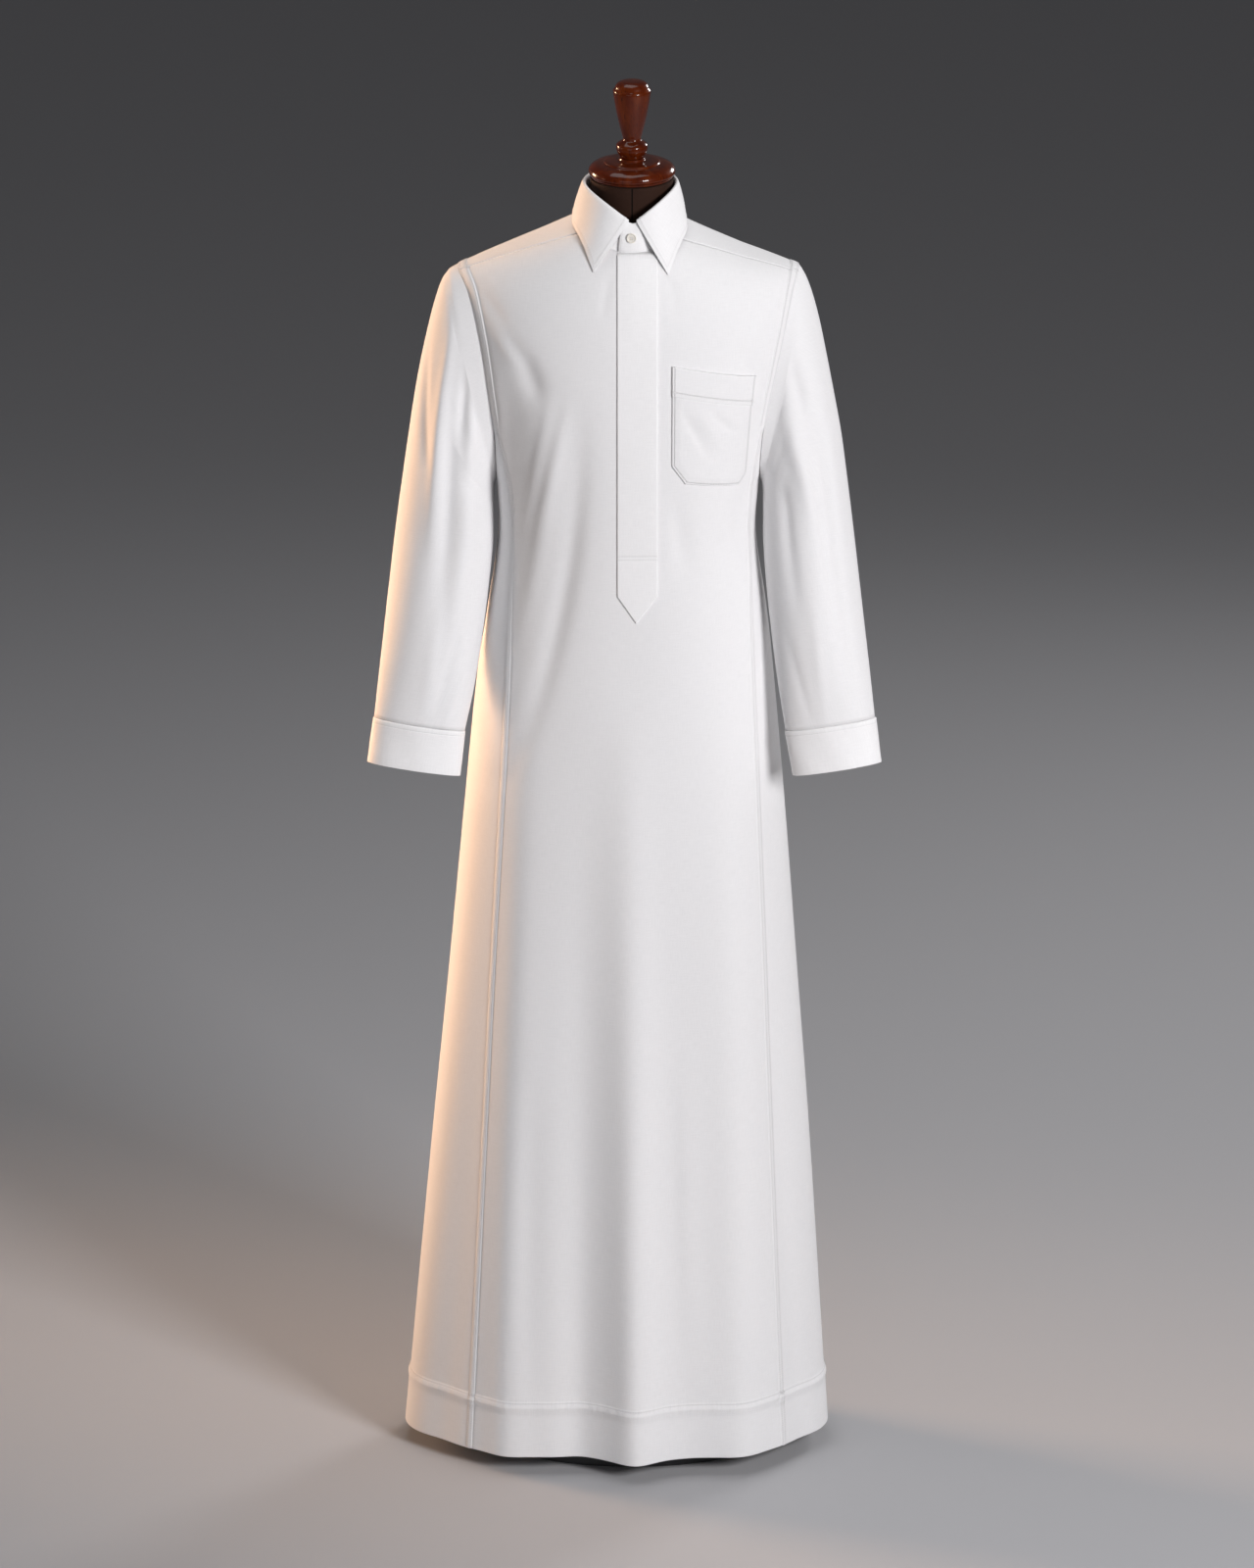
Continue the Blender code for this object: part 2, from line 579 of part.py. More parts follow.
def yoke_grid(front, back):
    """A horseshoe from the left front seam round the back to the right one."""
    left_tip, right_tip = front[-1, 0], front[-1, -1]
    left_blade, right_blade = back[-1, -1], back[-1, 0]
    outer = []
    for share in np.linspace(0, 1, YOKE_END_COLUMNS + 1)[:-1]:
        outer.append(arm_edge(left_tip, left_blade, share))
    for share in np.linspace(0, 1, YOKE_BACK_COLUMNS + 1):
        outer.append(back[-1, ::-1][0] * (1 - share) + right_blade * share)
    for share in np.linspace(1, 0, YOKE_END_COLUMNS + 1)[1:]:
        outer.append(arm_edge(right_tip, right_blade, share))
    for k in range(YOKE_END_COLUMNS, YOKE_END_COLUMNS + YOKE_BACK_COLUMNS + 1):
        outer[k] = back_seam_point(outer[k][0], back)
    start = math.asin((yoke_front_y(0.056) + NECK_Y) / NECK_HALF_Y)
    count = len(outer)
    grid = np.zeros((YOKE_ROWS, count, 3))
    for j, edge in enumerate(outer):
        around = math.pi + start - (math.pi + 2 * start) * j / (count - 1)
        neck = (NECK_X + NECK_HALF_X * math.cos(around), NECK_Y + NECK_HALF_Y * math.sin(around))
        inner_turn, outer_turn = ridge_turn(*neck), ridge_turn(edge[0], edge[1])
        for i in range(YOKE_ROWS):
            share = i / (YOKE_ROWS - 1)
            x = edge[0] + (neck[0] - edge[0]) * share
            turn = outer_turn + (inner_turn - outer_turn) * share
            if j in (0, count - 1):
                turn = ridge_turn(x, -yoke_front_y(x))
            grid[i, j] = ridge_point(x, turn)
        grid[0, j] = edge
    return grid


def arm_edge(tip, blade, share):
    """The armhole between the yoke's front and back seams."""
    turn = ridge_turn(*tip[:2]) * (1 - share) + ridge_turn(*blade[:2]) * share
    height = CHEST_Z + DOME_RISE * math.cos(turn) ** (2 / DOME_POWER)
    right = tip[0] > 0
    return plain_point(seam_angle(height, right, turn > 0), height)


def back_seam_point(x, back):
    """The point of the back panel's top edge over x."""
    edge = back[-1][np.argsort(back[-1][:, 0])]
    return np.array([np.interp(x, edge[:, 0], edge[:, k]) for k in range(3)])


def add_yoke(grids):
    front, back = grids["front"][0], grids["back"][0]
    points = yoke_grid(front, back)
    add_wall("yoke", trim(points, bottom=GAP, first=GAP, last=GAP)[:, ::-1], "poplin")
    return points


# ---------------------------------------------------------------------- sleeves
def armhole_loop(grids, yoke, right):
    """The armhole's corner points, from the top over the front to the bottom
    and up the back.  The pieces round it end in the same points."""
    front, back = grids["front"][0], grids["back"][0]
    gore = grids["side_gore_R" if right else "side_gore_L"][0]
    start = len(LOW_ROWS) + len(ARMPIT_ROWS) - 1
    front_edge = [front[i, -1 if right else 0] for i in range(len(front) - 1, start, -1)]
    back_edge = [back[i, 0 if right else -1] for i in range(start, len(back))]
    under = list(gore[-1]) if right else list(gore[-1, ::-1])
    ends = range(YOKE_END_COLUMNS, 0, -1)
    over = [yoke[0, -1 - k if right else k] for k in ends]
    return np.array(front_edge + under + back_edge[1:] + over[1:])


def sleeve_ring(row, letter, angles):
    """Points of one ring at the given angles, 0 outside and 90 degrees front."""
    table = dict(zip(SLEEVE_COLUMNS, row))
    sign = 1 if letter == "R" else -1
    outer = np.array((sign * table["outer_" + letter], table["middle_y"], table["outer_z"]))
    inner = np.array((sign * table["inner_" + letter], table["middle_y"], table["inner_z"]))
    lean = math.radians(table["pitch"])
    forward = np.array((0, -math.cos(lean), math.sin(lean)))
    ring = [(outer + inner) / 2 + (outer - inner) / 2 * math.cos(a)
            + forward * table["half_depth"] * math.sin(a) for a in angles]
    return np.array(ring)


def sleeve_folds(rings, letter, angles):
    """Push the drape lines into the rings."""
    middles = rings.mean(axis=1)
    for side, first, last, start, end, width, rise in SLEEVE_FOLDS:
        if side != letter:
            continue
        for k in range(len(rings)):
            if not start < k < end:
                continue
            t = (k - start) / (end - start)
            centre = math.radians(first + (last - first) * t)
            for j, angle in enumerate(angles):
                off = (angle - centre + math.pi) % math.tau - math.pi
                out = unit(rings[k, j] - middles[k])
                strength = math.exp(-((off / math.radians(width)) ** 2)) * math.sin(math.pi * t)
                rings[k, j] += out * rise * strength
    return rings


def add_sleeve(letter, loop, body_normals):
    """One sleeve, from the armhole's points to the cuff seam, and its cuff."""
    top, bottom = loop[:, 2].max(), loop[:, 2].min()
    angles = []
    for point in loop:
        level = (2 * point[2] - top - bottom) / (top - bottom)
        angle = math.acos(min(max(level, -1), 1))
        angles.append(angle if point[1] < 0 else math.tau - angle)
    rings = np.array([sleeve_ring(row, letter, angles) for row in SLEEVE_RINGS])
    rings = sleeve_folds(rings, letter, angles)
    middle = loop.mean(axis=0)
    edge = np.zeros_like(loop)
    for j, point in enumerate(loop):
        normal = body_normals[j]
        into_body = point - middle
        into_body = unit(into_body - normal * np.dot(into_body, normal))
        into_sleeve = unit(rings[0, j] - point)
        turn = math.acos(min(max(np.dot(into_sleeve, -into_body), -1), 1))
        away = unit(into_sleeve - into_body)
        edge[j] = point + away * (CLOTH * math.sin(turn / 2) + GAP)
    points = np.concatenate((edge[None], rings))[::-1]
    angles_turn = np.s_[:, ::-1] if letter == "R" else np.s_[:, :]
    add_wall("sleeve_" + letter, points[angles_turn], "poplin", closed=True)

    even = np.radians(np.linspace(0, 360, 24, endpoint=False))
    cuff = np.array([sleeve_ring(row, letter, even) for row in CUFF_RINGS])[::-1]
    cuff = cuff[:, ::-1] if letter == "R" else cuff
    add_wall("cuff_" + letter, cuff, "poplin", thickness=BAND_CLOTH, closed=True)


def add_sleeves(grids, yoke):
    for letter in "LR":
        loop = armhole_loop(grids, yoke, letter == "R")
        sign = 1 if letter == "R" else -1
        normals = []
        for point in loop:
            slope = unit(np.array((sign * 0.5, point[1] * 6, (point[2] - 1.33) * 3)))
            normals.append(slope)
        add_sleeve(letter, loop, normals)


# ----------------------------------------------------------------------- collar
STAND_COLUMNS, LEAF_HALF_COLUMNS = 43, 20
FOLD_HALF_X, FOLD_FRONT_Y, FOLD_BACK_Y = 0.0530, -0.0670, 0.0545
COLLAR_X, COLLAR_FRONT_X = -0.0018, 0.0008   # middle of the fold line at its sides, at its front
LAP_GAP = BAND_CLOTH + GAP
BAND_LIFT = 0.0020       # middle of the band's lower edge above the neckline
BAND_DROP = 0.0030       # its upper edge below the fold of the leaf
FRONT_DROP = 0.0008      # the same between the ends of the leaf
# Half of the leaf from the front edge to the centre back: the direction of its
# fold point and of its edge point, in degrees from the front, the distance of
# the edge from the neck's axis and how far the edge stands off the garment.
LEAF_COLUMNS = ("share", "fold_turn", "edge_turn", "edge_radius", "clearance")
LEAF_ROWS = (
    (0.00, 5.0, 27.2, 0.0958, 0.0024),
    (0.08, 14.0, 32.8, 0.0912, 0.0038),
    (0.17, 27.0, 40.4, 0.0850, 0.0042),
    (0.28, 44.0, 54.0, 0.0770, 0.0036),
    (0.42, 68.0, 74.0, 0.0700, 0.0028),
    (0.55, 90.0, 92.0, 0.0670, 0.0024),
    (0.75, 130.0, 131.0, 0.0715, 0.0050),
    (1.00, 180.0, 180.0, 0.0700, 0.0080),
)


def neckline_point(turn):
    """Point of the neckline at an angle from the front, and its height."""
    x, y = NECK_X + NECK_HALF_X * math.sin(turn), NECK_Y - NECK_HALF_Y * math.cos(turn)
    return ridge_point(x, ridge_turn(x, y))


def fold_point(turn):
    """Point of the collar's fold line at an angle from the front."""
    side = abs(math.sin(turn))
    half_y = (FOLD_BACK_Y - FOLD_FRONT_Y) / 2
    ahead = max(math.cos(turn), 0)
    x = COLLAR_X + (COLLAR_FRONT_X - COLLAR_X) * ahead**2 + FOLD_HALF_X * math.sin(turn)
    y = (FOLD_BACK_Y + FOLD_FRONT_Y) / 2 - half_y * math.cos(turn)
    z = COLLAR_BACK_Z - (COLLAR_BACK_Z - COLLAR_SIDE_Z) * side**2
    if ahead > 0:
        z = COLLAR_SIDE_Z - (COLLAR_SIDE_Z - COLLAR_FRONT_Z) * (1 - side) ** 1.25
    return np.array((x, y, z))


def band_drop(turn):
    """How far the band's upper edge stays below the fold line."""
    off_front = abs(math.degrees(math.atan2(math.sin(turn), math.cos(turn))))
    return FRONT_DROP + (BAND_DROP - FRONT_DROP) * min(off_front / LEAF_ROWS[0][1], 1)


def add_collar_stand():
    """The band, a strip once round the neck whose ends lap at the front."""
    start, end = math.radians(-13), math.radians(360 + 12)
    rows, bow_out = 5, 0.0020
    grid = np.zeros((rows, STAND_COLUMNS, 3))
    for j in range(STAND_COLUMNS):
        turn = start + (end - start) * j / (STAND_COLUMNS - 1)
        inset = LAP_GAP * min(max((turn - math.radians(310)) / math.radians(36), 0), 1)
        low, high = neckline_point(turn), fold_point(turn)
        low = low + np.array((0, 0, BAND_LIFT))
        high = high - np.array((0, 0, band_drop(turn)))
        inward = np.array((-math.sin(turn), math.cos(turn), 0)) * inset
        for i in range(rows):
            share = i / (rows - 1)
            bow = np.array((math.sin(turn), -math.cos(turn), 0)) * bow_out * math.sin(math.pi * share)
            grid[i, j] = low + (high - low) * share + bow + inward
    add_wall("collar_stand", grid, "poplin", thickness=BAND_CLOTH)


def add_collar_leaf():
    """The leaf: out of the top of the band, over a soft roll and down."""
    falls = (0.06, 0.30, 0.54, 0.78, 1.0)
    grid = np.zeros((len(falls) + 3, 2 * LEAF_HALF_COLUMNS + 1, 3))
    for j in range(2 * LEAF_HALF_COLUMNS + 1):
        along = j / LEAF_HALF_COLUMNS - 1
        share = 1 - abs(along)
        fold_turn, edge_turn, radius, clearance = read_table(LEAF_ROWS, share)
        sign = -1 if along < 0 else 1
        fold_turn, edge_turn = (math.radians(value) * sign for value in (fold_turn, edge_turn))
        fold = fold_point(fold_turn)
        out = np.array((math.sin(fold_turn), -math.cos(fold_turn), 0))
        x = 2 * COLLAR_X + (COLLAR_FRONT_X - COLLAR_X) * math.cos(edge_turn / 2) ** 4
        x, y = x + radius * math.sin(edge_turn), -radius * math.cos(edge_turn)
        surface = ridge_point(x, ridge_turn(x, y))
        edge = surface + np.array((0, 0, clearance + 0.0015))
        grid[0, j] = fold + np.array((0, 0, -0.0012))
        grid[1, j] = fold + out * 0.0009 + np.array((0, 0, 0.0006))
        grid[2, j] = fold + out * 0.0026 + np.array((0, 0, 0.0004))
        roll = fold + out * 0.0036 + np.array((0, 0, -0.0014))
        for k, fall in enumerate(falls):
            swell = out * 0.0012 * math.sin(math.pi * fall)
            grid[3 + k, j] = roll + (edge - roll) * fall + swell
    add_wall("collar_leaf", grid[::-1], "poplin", thickness=BAND_CLOTH)


# ------------------------------------------------------ what lies on the front
def row_at(row, x):
    """Where a row of the front's points and normals crosses x."""
    return np.array([np.interp(x, row[:, 0], row[:, k]) for k in range(row.shape[1])])


def straight_row(front, edges, columns):
    """Points and normals of the front on a straight line between two edges."""
    left_x, left_z, right_x, right_z = edges
    spots = []
    for share in np.linspace(0, 1, columns):
        x, z = left_x + (right_x - left_x) * share, left_z + (right_z - left_z) * share
        crossings = np.array([row_at(row, x) for row in front])
        spots.append([np.interp(z, crossings[:, 2], crossings[:, k]) for k in range(6)])
    return spots


def own_rows(front, left, right, low, high, columns):
    """The front's own rows between two heights, on an upright strip."""
    apart = 0.004
    rows = [[row_at(row, x) for x in np.linspace(left, right, columns)] for row in front]
    return [row for row in rows if min(row[0][2], row[-1][2]) > low + apart
            and max(row[0][2], row[-1][2]) < high - apart]


def add_patch(name, rows, thickness, off=GAP):
    """A patch on the front, from rows of its points and normals."""
    rows = np.array(rows)
    normals = rows[:, :, 3:] / np.linalg.norm(rows[:, :, 3:], axis=2, keepdims=True)
    points = rows[:, :, :3] + normals * (off + CLOTH / 2 + thickness / 2)
    add_wall(name, points, "poplin", thickness=thickness, normals=normals)


def add_placket(front):
    """The strip that covers the buttons, with a pointed end at the waist."""
    blunt, columns = 0.0015, 6
    rows = []
    for share in (0.0, 0.34, 0.67, 1.0):
        z = PLACKET_TIP + (PLACKET_CORNER - PLACKET_TIP) * share
        left = PLACKET_TIP_X - blunt + (PLACKET_LEFT - PLACKET_TIP_X + blunt) * share
        right = PLACKET_TIP_X + blunt + (PLACKET_RIGHT - PLACKET_TIP_X - blunt) * share
        rows.append(straight_row(front, (left, z, right, z), columns))
    top = []
    for x in np.linspace(PLACKET_LEFT, PLACKET_RIGHT, columns):
        edge, below = row_at(front[-1], x), row_at(front[-2], x)
        top.append(edge + (below - edge) * PLACKET_SHORT / np.linalg.norm(below[:3] - edge[:3]))
    lowest = min(spot[2] for spot in top)
    rows += own_rows(front, PLACKET_LEFT, PLACKET_RIGHT, PLACKET_CORNER, lowest, columns) + [top]
    add_patch("placket", rows, 0.0022, off=0.0008)


# The pocket below its band, and the band: both edges of each row.
POCKET_COLUMNS = ("left_x", "left_z", "right_x", "right_z")
POCKET_EDGES = (
    (0.0621, 1.2520, 0.1255, 1.2400),
    (0.0463, 1.2751, 0.1344, 1.2525),
    (0.0464, 1.2960, 0.1360, 1.2740),
    (0.0465, 1.3180, 0.1378, 1.2960),
    (0.0467, 1.3400, 0.1396, 1.3180),
    (0.0468, 1.3615, 0.1412, 1.3405),
)
POCKET_BAND_EDGES = (
    (0.0466, 1.3622, 0.1417, 1.3412),
    (0.0466, 1.3790, 0.1440, 1.3580),
    (0.0467, 1.3965, 0.1466, 1.3755),
)


def add_pocket(front):
    columns, off = 9, 0.0008
    for name, table, thickness in (("pocket", POCKET_EDGES, 0.0016),
                                   ("pocket_band", POCKET_BAND_EDGES, 0.0024)):
        add_patch(name, [straight_row(front, edges, columns) for edges in table], thickness, off=off)


def add_button():
    """Four-hole button on the band, under the meeting of the leaves."""
    radius, height, rim = 0.0059, 0.0022, 0.0009
    centre, sides = np.array((0.0003, 0.0, 1.5410)), 20
    profile = ((0.0, 0.0), (radius * 0.86, 0.0), (radius, height * 0.35), (radius * 0.96, height * 0.8),
               (radius * 0.84, height), (radius * 0.70, height * 0.93), (radius * 0.58, height - rim),
               (0.0, height - rim))
    low, high = neckline_point(0.0), fold_point(0.0)
    slope = unit(high - low)
    low, high = low + np.array((0, 0, BAND_LIFT)), high - np.array((0, 0, band_drop(0.0)))
    share = (centre[2] - low[2]) / (high[2] - low[2])
    on_band = low + (high - low) * share
    out = unit(np.array((0, -slope[2], slope[1])))
    on_band = on_band + np.array((centre[0], -0.0020 * math.sin(math.pi * share), 0))
    on_band = on_band + out * (BAND_CLOTH / 2 + GAP)
    vertices, faces = [], []
    across_x, across_z = np.array((1.0, 0, 0)), slope
    for r, h in profile:
        if r == 0.0:
            vertices.append(on_band + out * h)
            continue
        for k in range(sides):
            a = math.tau * k / sides
            vertices.append(on_band + out * h + across_x * r * math.cos(a) + across_z * r * math.sin(a))
    rings = len(profile) - 2
    for k in range(sides):
        m = (k + 1) % sides
        faces.append((0, 1 + m, 1 + k))
        faces.append((len(vertices) - 1, 1 + (rings - 1) * sides + k, 1 + (rings - 1) * sides + m))
        for ring in range(rings - 1):
            a, b = 1 + ring * sides, 1 + (ring + 1) * sides
            faces.append((a + k, a + m, b + m, b + k))
    add_object("collar_button", vertices, faces, "button")


# ------------------------------------------------------------------- dress form
def add_form_bust():
    """Torso, sloping shoulders and neck in one lofted skin."""
    sides = 28
    vertices, faces = [], []
    for height, half_width, front, back, power in FORM_RINGS:
        for k in range(sides):
            a = math.tau * k / sides
            c, s = math.cos(a), math.sin(a)
            depth = back if s > 0 else front
            x = math.copysign(half_width * abs(c) ** (2 / power), c)
            y = math.copysign(depth * abs(s) ** (2 / power), s)
            shoulder = min(max((height - 1.40) / 0.07, 0), 1) * min(max((1.575 - height) / 0.03, 0), 1)
            vertices.append((x, y, height - shoulder_drop(x) * shoulder))
    rings = len(FORM_RINGS)
    for ring in range(rings - 1):
        for k in range(sides):
            a, b = ring * sides, (ring + 1) * sides
            m = (k + 1) % sides
            faces.append((a + k, a + m, b + m, b + k))
    faces.append(tuple(range(sides - 1, -1, -1)))
    faces.append(tuple((rings - 1) * sides + k for k in range(sides)))
    add_object("form_bust", vertices, faces, "jersey")


def add_turned(name, profile, sides, material):
    """A solid turned about the Z axis from its profile."""
    vertices, faces = [], []
    middle = profile[1:-1]
    vertices.append((0, 0, profile[0][1]))
    for radius, height in middle:
        for k in range(sides):
            a = math.tau * k / sides
            vertices.append((radius * math.cos(a), radius * math.sin(a), height))
    vertices.append((0, 0, profile[-1][1]))
    last = len(vertices) - 1
    for k in range(sides):
        m = (k + 1) % sides
        faces.append((0, 1 + k, 1 + m))
        faces.append((last, last - sides + m, last - sides + k))
        for ring in range(len(middle) - 1):
            a, b = 1 + ring * sides, 1 + (ring + 1) * sides
            faces.append((a + k, b + k, b + m, a + m))
    return add_object(name, vertices, faces, material)


def add_form():
    add_form_bust()
    add_turned("neck_cap", CAP_PROFILE, 32, "mahogany")
    add_turned("finial", FINIAL_PROFILE, 24, "mahogany")
    foot = BASE_HEIGHT + GAP
    head = FORM_RINGS[0][0] - GAP
    pole = ((0, head), (POLE_RADIUS, head), (POLE_RADIUS, foot + 0.030), (POLE_RADIUS * 2, foot + 0.024),
            (POLE_RADIUS * 2, foot), (0, foot))
    add_turned("stand_pole", pole, 20, "steel")
    edge = 0.002
    plate = ((0, BASE_HEIGHT), (1 - edge / BASE_HALF_Y, BASE_HEIGHT), (1, BASE_HEIGHT - edge), (1, 0), (0, 0))
    base = add_turned("stand_base", plate, 36, "steel")
    for vertex in base.data.vertices:
        vertex.co.x *= BASE_HALF_X
        vertex.co.y *= BASE_HALF_Y


clear_scene()
body_grids = add_body()
yoke_points = add_yoke(body_grids)
add_sleeves(body_grids, yoke_points)
add_collar_stand()
add_collar_leaf()
front_panel = np.concatenate(body_grids["front"], axis=2)
add_placket(front_panel)
add_pocket(front_panel)
add_button()
add_form()
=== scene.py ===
import math

import bpy
import numpy as np
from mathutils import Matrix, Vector


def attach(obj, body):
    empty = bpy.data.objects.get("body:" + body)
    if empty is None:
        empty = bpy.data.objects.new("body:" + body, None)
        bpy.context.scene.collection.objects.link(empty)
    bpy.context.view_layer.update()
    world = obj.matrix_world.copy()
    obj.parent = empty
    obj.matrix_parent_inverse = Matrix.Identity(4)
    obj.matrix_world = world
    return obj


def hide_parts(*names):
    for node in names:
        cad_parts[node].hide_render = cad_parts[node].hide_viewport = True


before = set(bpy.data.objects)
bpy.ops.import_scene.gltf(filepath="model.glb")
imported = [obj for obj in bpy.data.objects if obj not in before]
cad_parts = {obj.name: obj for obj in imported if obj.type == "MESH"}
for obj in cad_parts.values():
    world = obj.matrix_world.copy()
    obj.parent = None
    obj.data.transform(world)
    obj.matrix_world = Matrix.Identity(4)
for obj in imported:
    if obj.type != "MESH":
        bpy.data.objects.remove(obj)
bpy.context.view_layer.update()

# -------------------- stand: base plate
# An oval steel plate, cut from 14 mm stock and powder coated black.  Its upper
# edge is eased; the underside stands flat on the floor.
BASE_HALF_X, BASE_HALF_Y, BASE_HEIGHT = 0.170, 0.105, 0.014


def lay_down(name, material, *nodes, slot):
    """Finish the active piece: name, place in the mesh, smooth shading, material, the root body, and hiding the
    nodes it stands for.
    """
    piece = bpy.context.object
    piece.name = piece.data.name = name
    bpy.ops.object.transform_apply(location=True, rotation=True, scale=True)
    bpy.ops.object.shade_smooth_by_angle(angle=math.radians(35))
    piece.data.materials.clear()
    piece.data.materials.append(material)
    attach(piece, "root")
    if nodes:
        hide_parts(*nodes)


def new_material(name, colour, roughness, **values):
    """A material and its tree, with the plain values of its shader."""
    material = bpy.data.materials.new(name)
    material.use_nodes = True
    shader = material.node_tree.nodes["Principled BSDF"]
    shader.name = "shader"
    for key, value in dict(Base_Color=(*colour, 1), Roughness=roughness, **values).items():
        shader.inputs[key.replace("_", " ")].default_value = value
    return material, material.node_tree


def node(tree, name, kind, settings=None, **values):
    """A named node with its settings and the plain values of its inputs."""
    made = tree.nodes.new("ShaderNode" + kind)
    made.name = name
    for key, value in (settings or {}).items():
        setattr(made, key, value)
    for key, value in values.items():
        made.inputs[key.replace("_", " ")].default_value = value
    return made


def wire(tree, routes):
    """Link named nodes, from.output>to.input.  Where no socket is named it is the first one in use."""
    for route in routes.split():
        sockets = []
        for end, side in zip(route.split(">"), ("outputs", "inputs")):
            name, _, key = end.partition(".")
            found = getattr(tree.nodes[name], side)
            key = int(key) if key.isdigit() else key.replace("_", " ")
            sockets.append(next(socket for socket in found if socket.enabled) if key == "" else found[key])
        tree.links.new(*sockets)


def powder_coat():
    """Black powder coat with its fine orange-peel grain."""
    material, tree = new_material("powder coat", (0.022, 0.022, 0.024), 0.42)
    node(tree, "place", "TexCoord")
    node(tree, "grain", "TexNoise", Scale=900.0, Detail=2.0)
    node(tree, "wear", "TexNoise", Scale=14.0, Detail=5.0)
    node(tree, "gloss", "MapRange", To_Min=0.34, To_Max=0.52)
    node(tree, "bump", "Bump", Strength=0.25, Distance=0.0003)
    wire(tree, "place.Object>grain place.Object>wear wear>gloss gloss>shader.Roughness grain>bump.Height"
               " bump>shader.Normal")
    return material


COAT = powder_coat()
bpy.ops.mesh.primitive_cylinder_add(vertices=96, radius=1, depth=BASE_HEIGHT, location=(0, 0, BASE_HEIGHT / 2))
bpy.ops.object.mode_set(mode="EDIT")
bpy.ops.mesh.select_all(action="SELECT")
bpy.ops.transform.resize(value=(BASE_HALF_X, BASE_HALF_Y, 1))
bpy.ops.mesh.select_all(action="DESELECT")
bpy.ops.object.mode_set(mode="OBJECT")
for vertex in bpy.context.object.data.vertices:
    vertex.select = vertex.co.z > 0
bpy.ops.object.mode_set(mode="EDIT")
bpy.ops.mesh.bevel(offset=0.0022, segments=4, affect="EDGES")
bpy.ops.object.mode_set(mode="OBJECT")
lay_down("base_plate", COAT, "stand_base", slot="steel")

# -------------------- stand: pole
# A 32 mm steel tube on a welded foot collar, coated like the base.  It carries
# the bust and is hidden by the robe.
POLE_RADIUS, POLE_TOP = 0.016, 0.7997


def turned(name, profile, sides):
    """A turned piece, drawn out ring by ring from a disc at its foot."""
    radius, height = profile[0]
    bpy.ops.mesh.primitive_circle_add(vertices=sides, radius=radius, fill_type="NGON", location=(0, 0, height))
    bpy.ops.object.mode_set(mode="EDIT")
    bpy.ops.mesh.select_all(action="SELECT")
    for next_radius, next_height in profile[1:]:
        bpy.ops.mesh.extrude_region_move(TRANSFORM_OT_translate={"value": (0, 0, next_height - height)})
        scale = next_radius / radius
        bpy.ops.transform.resize(value=(scale, scale, 1), center_override=(0, 0, next_height))
        radius, height = next_radius, next_height
    bpy.ops.mesh.select_all(action="SELECT")
    bpy.ops.mesh.normals_make_consistent(inside=False)
    bpy.ops.object.mode_set(mode="OBJECT")
    bpy.context.object.name = name
    return bpy.context.object


foot = BASE_HEIGHT + 0.0003
turned("pole", ((POLE_RADIUS * 2, foot), (POLE_RADIUS * 2, foot + 0.021), (POLE_RADIUS * 1.9, foot + 0.0235),
                (POLE_RADIUS * 1.2, foot + 0.028), (POLE_RADIUS, foot + 0.031), (POLE_RADIUS, POLE_TOP - 0.001),
                (POLE_RADIUS - 0.001, POLE_TOP)), 48)
lay_down("pole", COAT, "stand_pole", slot="steel")

# -------------------- dress form: bust
# A moulded bust under dark brown jersey, stretched tight.  The cover is sewn
# from panels, with a seam down the centre front and back and at both sides.


def metres(rows, plain=0):
    """Rows given in millimetres, in metres, apart from their last columns."""
    return [tuple(value / 1000 if k < len(row) - plain else value for k, value in enumerate(row)) for row in rows]


# Rings: height, half width, depth to the front and to the back, power.
BUST_RINGS = metres((
    (800, 130, 93, 90, 2.3), (806, 135, 98, 95, 2.3), (880, 145, 106, 104, 2.3), (960, 146, 106, 102, 2.3),
    (1060, 134, 98, 89, 2.2), (1140, 129, 96, 86, 2.2), (1220, 137, 104, 93, 2.3), (1300, 144, 107, 99, 2.4),
    (1360, 153, 103, 99, 2.5), (1410, 162, 92, 93, 2.5), (1445, 170, 79, 82, 2.4), (1470, 176, 64, 68, 2.2),
    (1488, 177.5, 47.5, 51.5, 2), (1497.5, 165, 41.5, 45.5, 2), (1510, 135, 43.5, 45.5, 2),
    (1522.5, 105, 47.5, 44.5, 2), (1534, 75, 50.5, 44.5, 2), (1539.5, 59.5, 51, 45.5, 2),
    (1544.5, 53.8, 51.3, 47, 2), (1552, 50.5, 51, 48, 2), (1562, 49, 50.5, 49, 2), (1594.5, 49, 50.5, 49, 2),
), 1)


def read_table(rows, height):
    """All columns but the first, on a smooth curve through the table's rows."""
    rows = np.array(rows, dtype=float)
    level = np.clip(height, rows[0, 0], rows[-1, 0])
    i = np.clip(np.searchsorted(rows[:, 0], level, side="right") - 1, 0, len(rows) - 2)
    order = np.arange(len(rows))
    low, high = np.maximum(order - 1, 0), np.minimum(order + 1, len(rows) - 1)
    slopes = (rows[high] - rows[low]) / (rows[high, :1] - rows[low, :1])
    span = (rows[i + 1, 0] - rows[i, 0])[..., None]
    t = (level - rows[i, 0])[..., None] / span
    values = ((2 * t**3 - 3 * t**2 + 1) * rows[i] + (t**3 - 2 * t**2 + t) * span * slopes[i]
              + (3 * t**2 - 2 * t**3) * rows[i + 1] + (t**3 - t**2) * span * slopes[i + 1])
    return np.moveaxis(values[..., 1:], -1, 0)


def rounded(value, power):
    """A cosine or sine drawn out to the rounded corners of a ring."""
    return np.sign(value) * np.abs(value) ** (2 / power)


def spots(x, y, z):
    """Points from their coordinates."""
    return np.stack(np.broadcast_arrays(x, y, z), axis=-1)


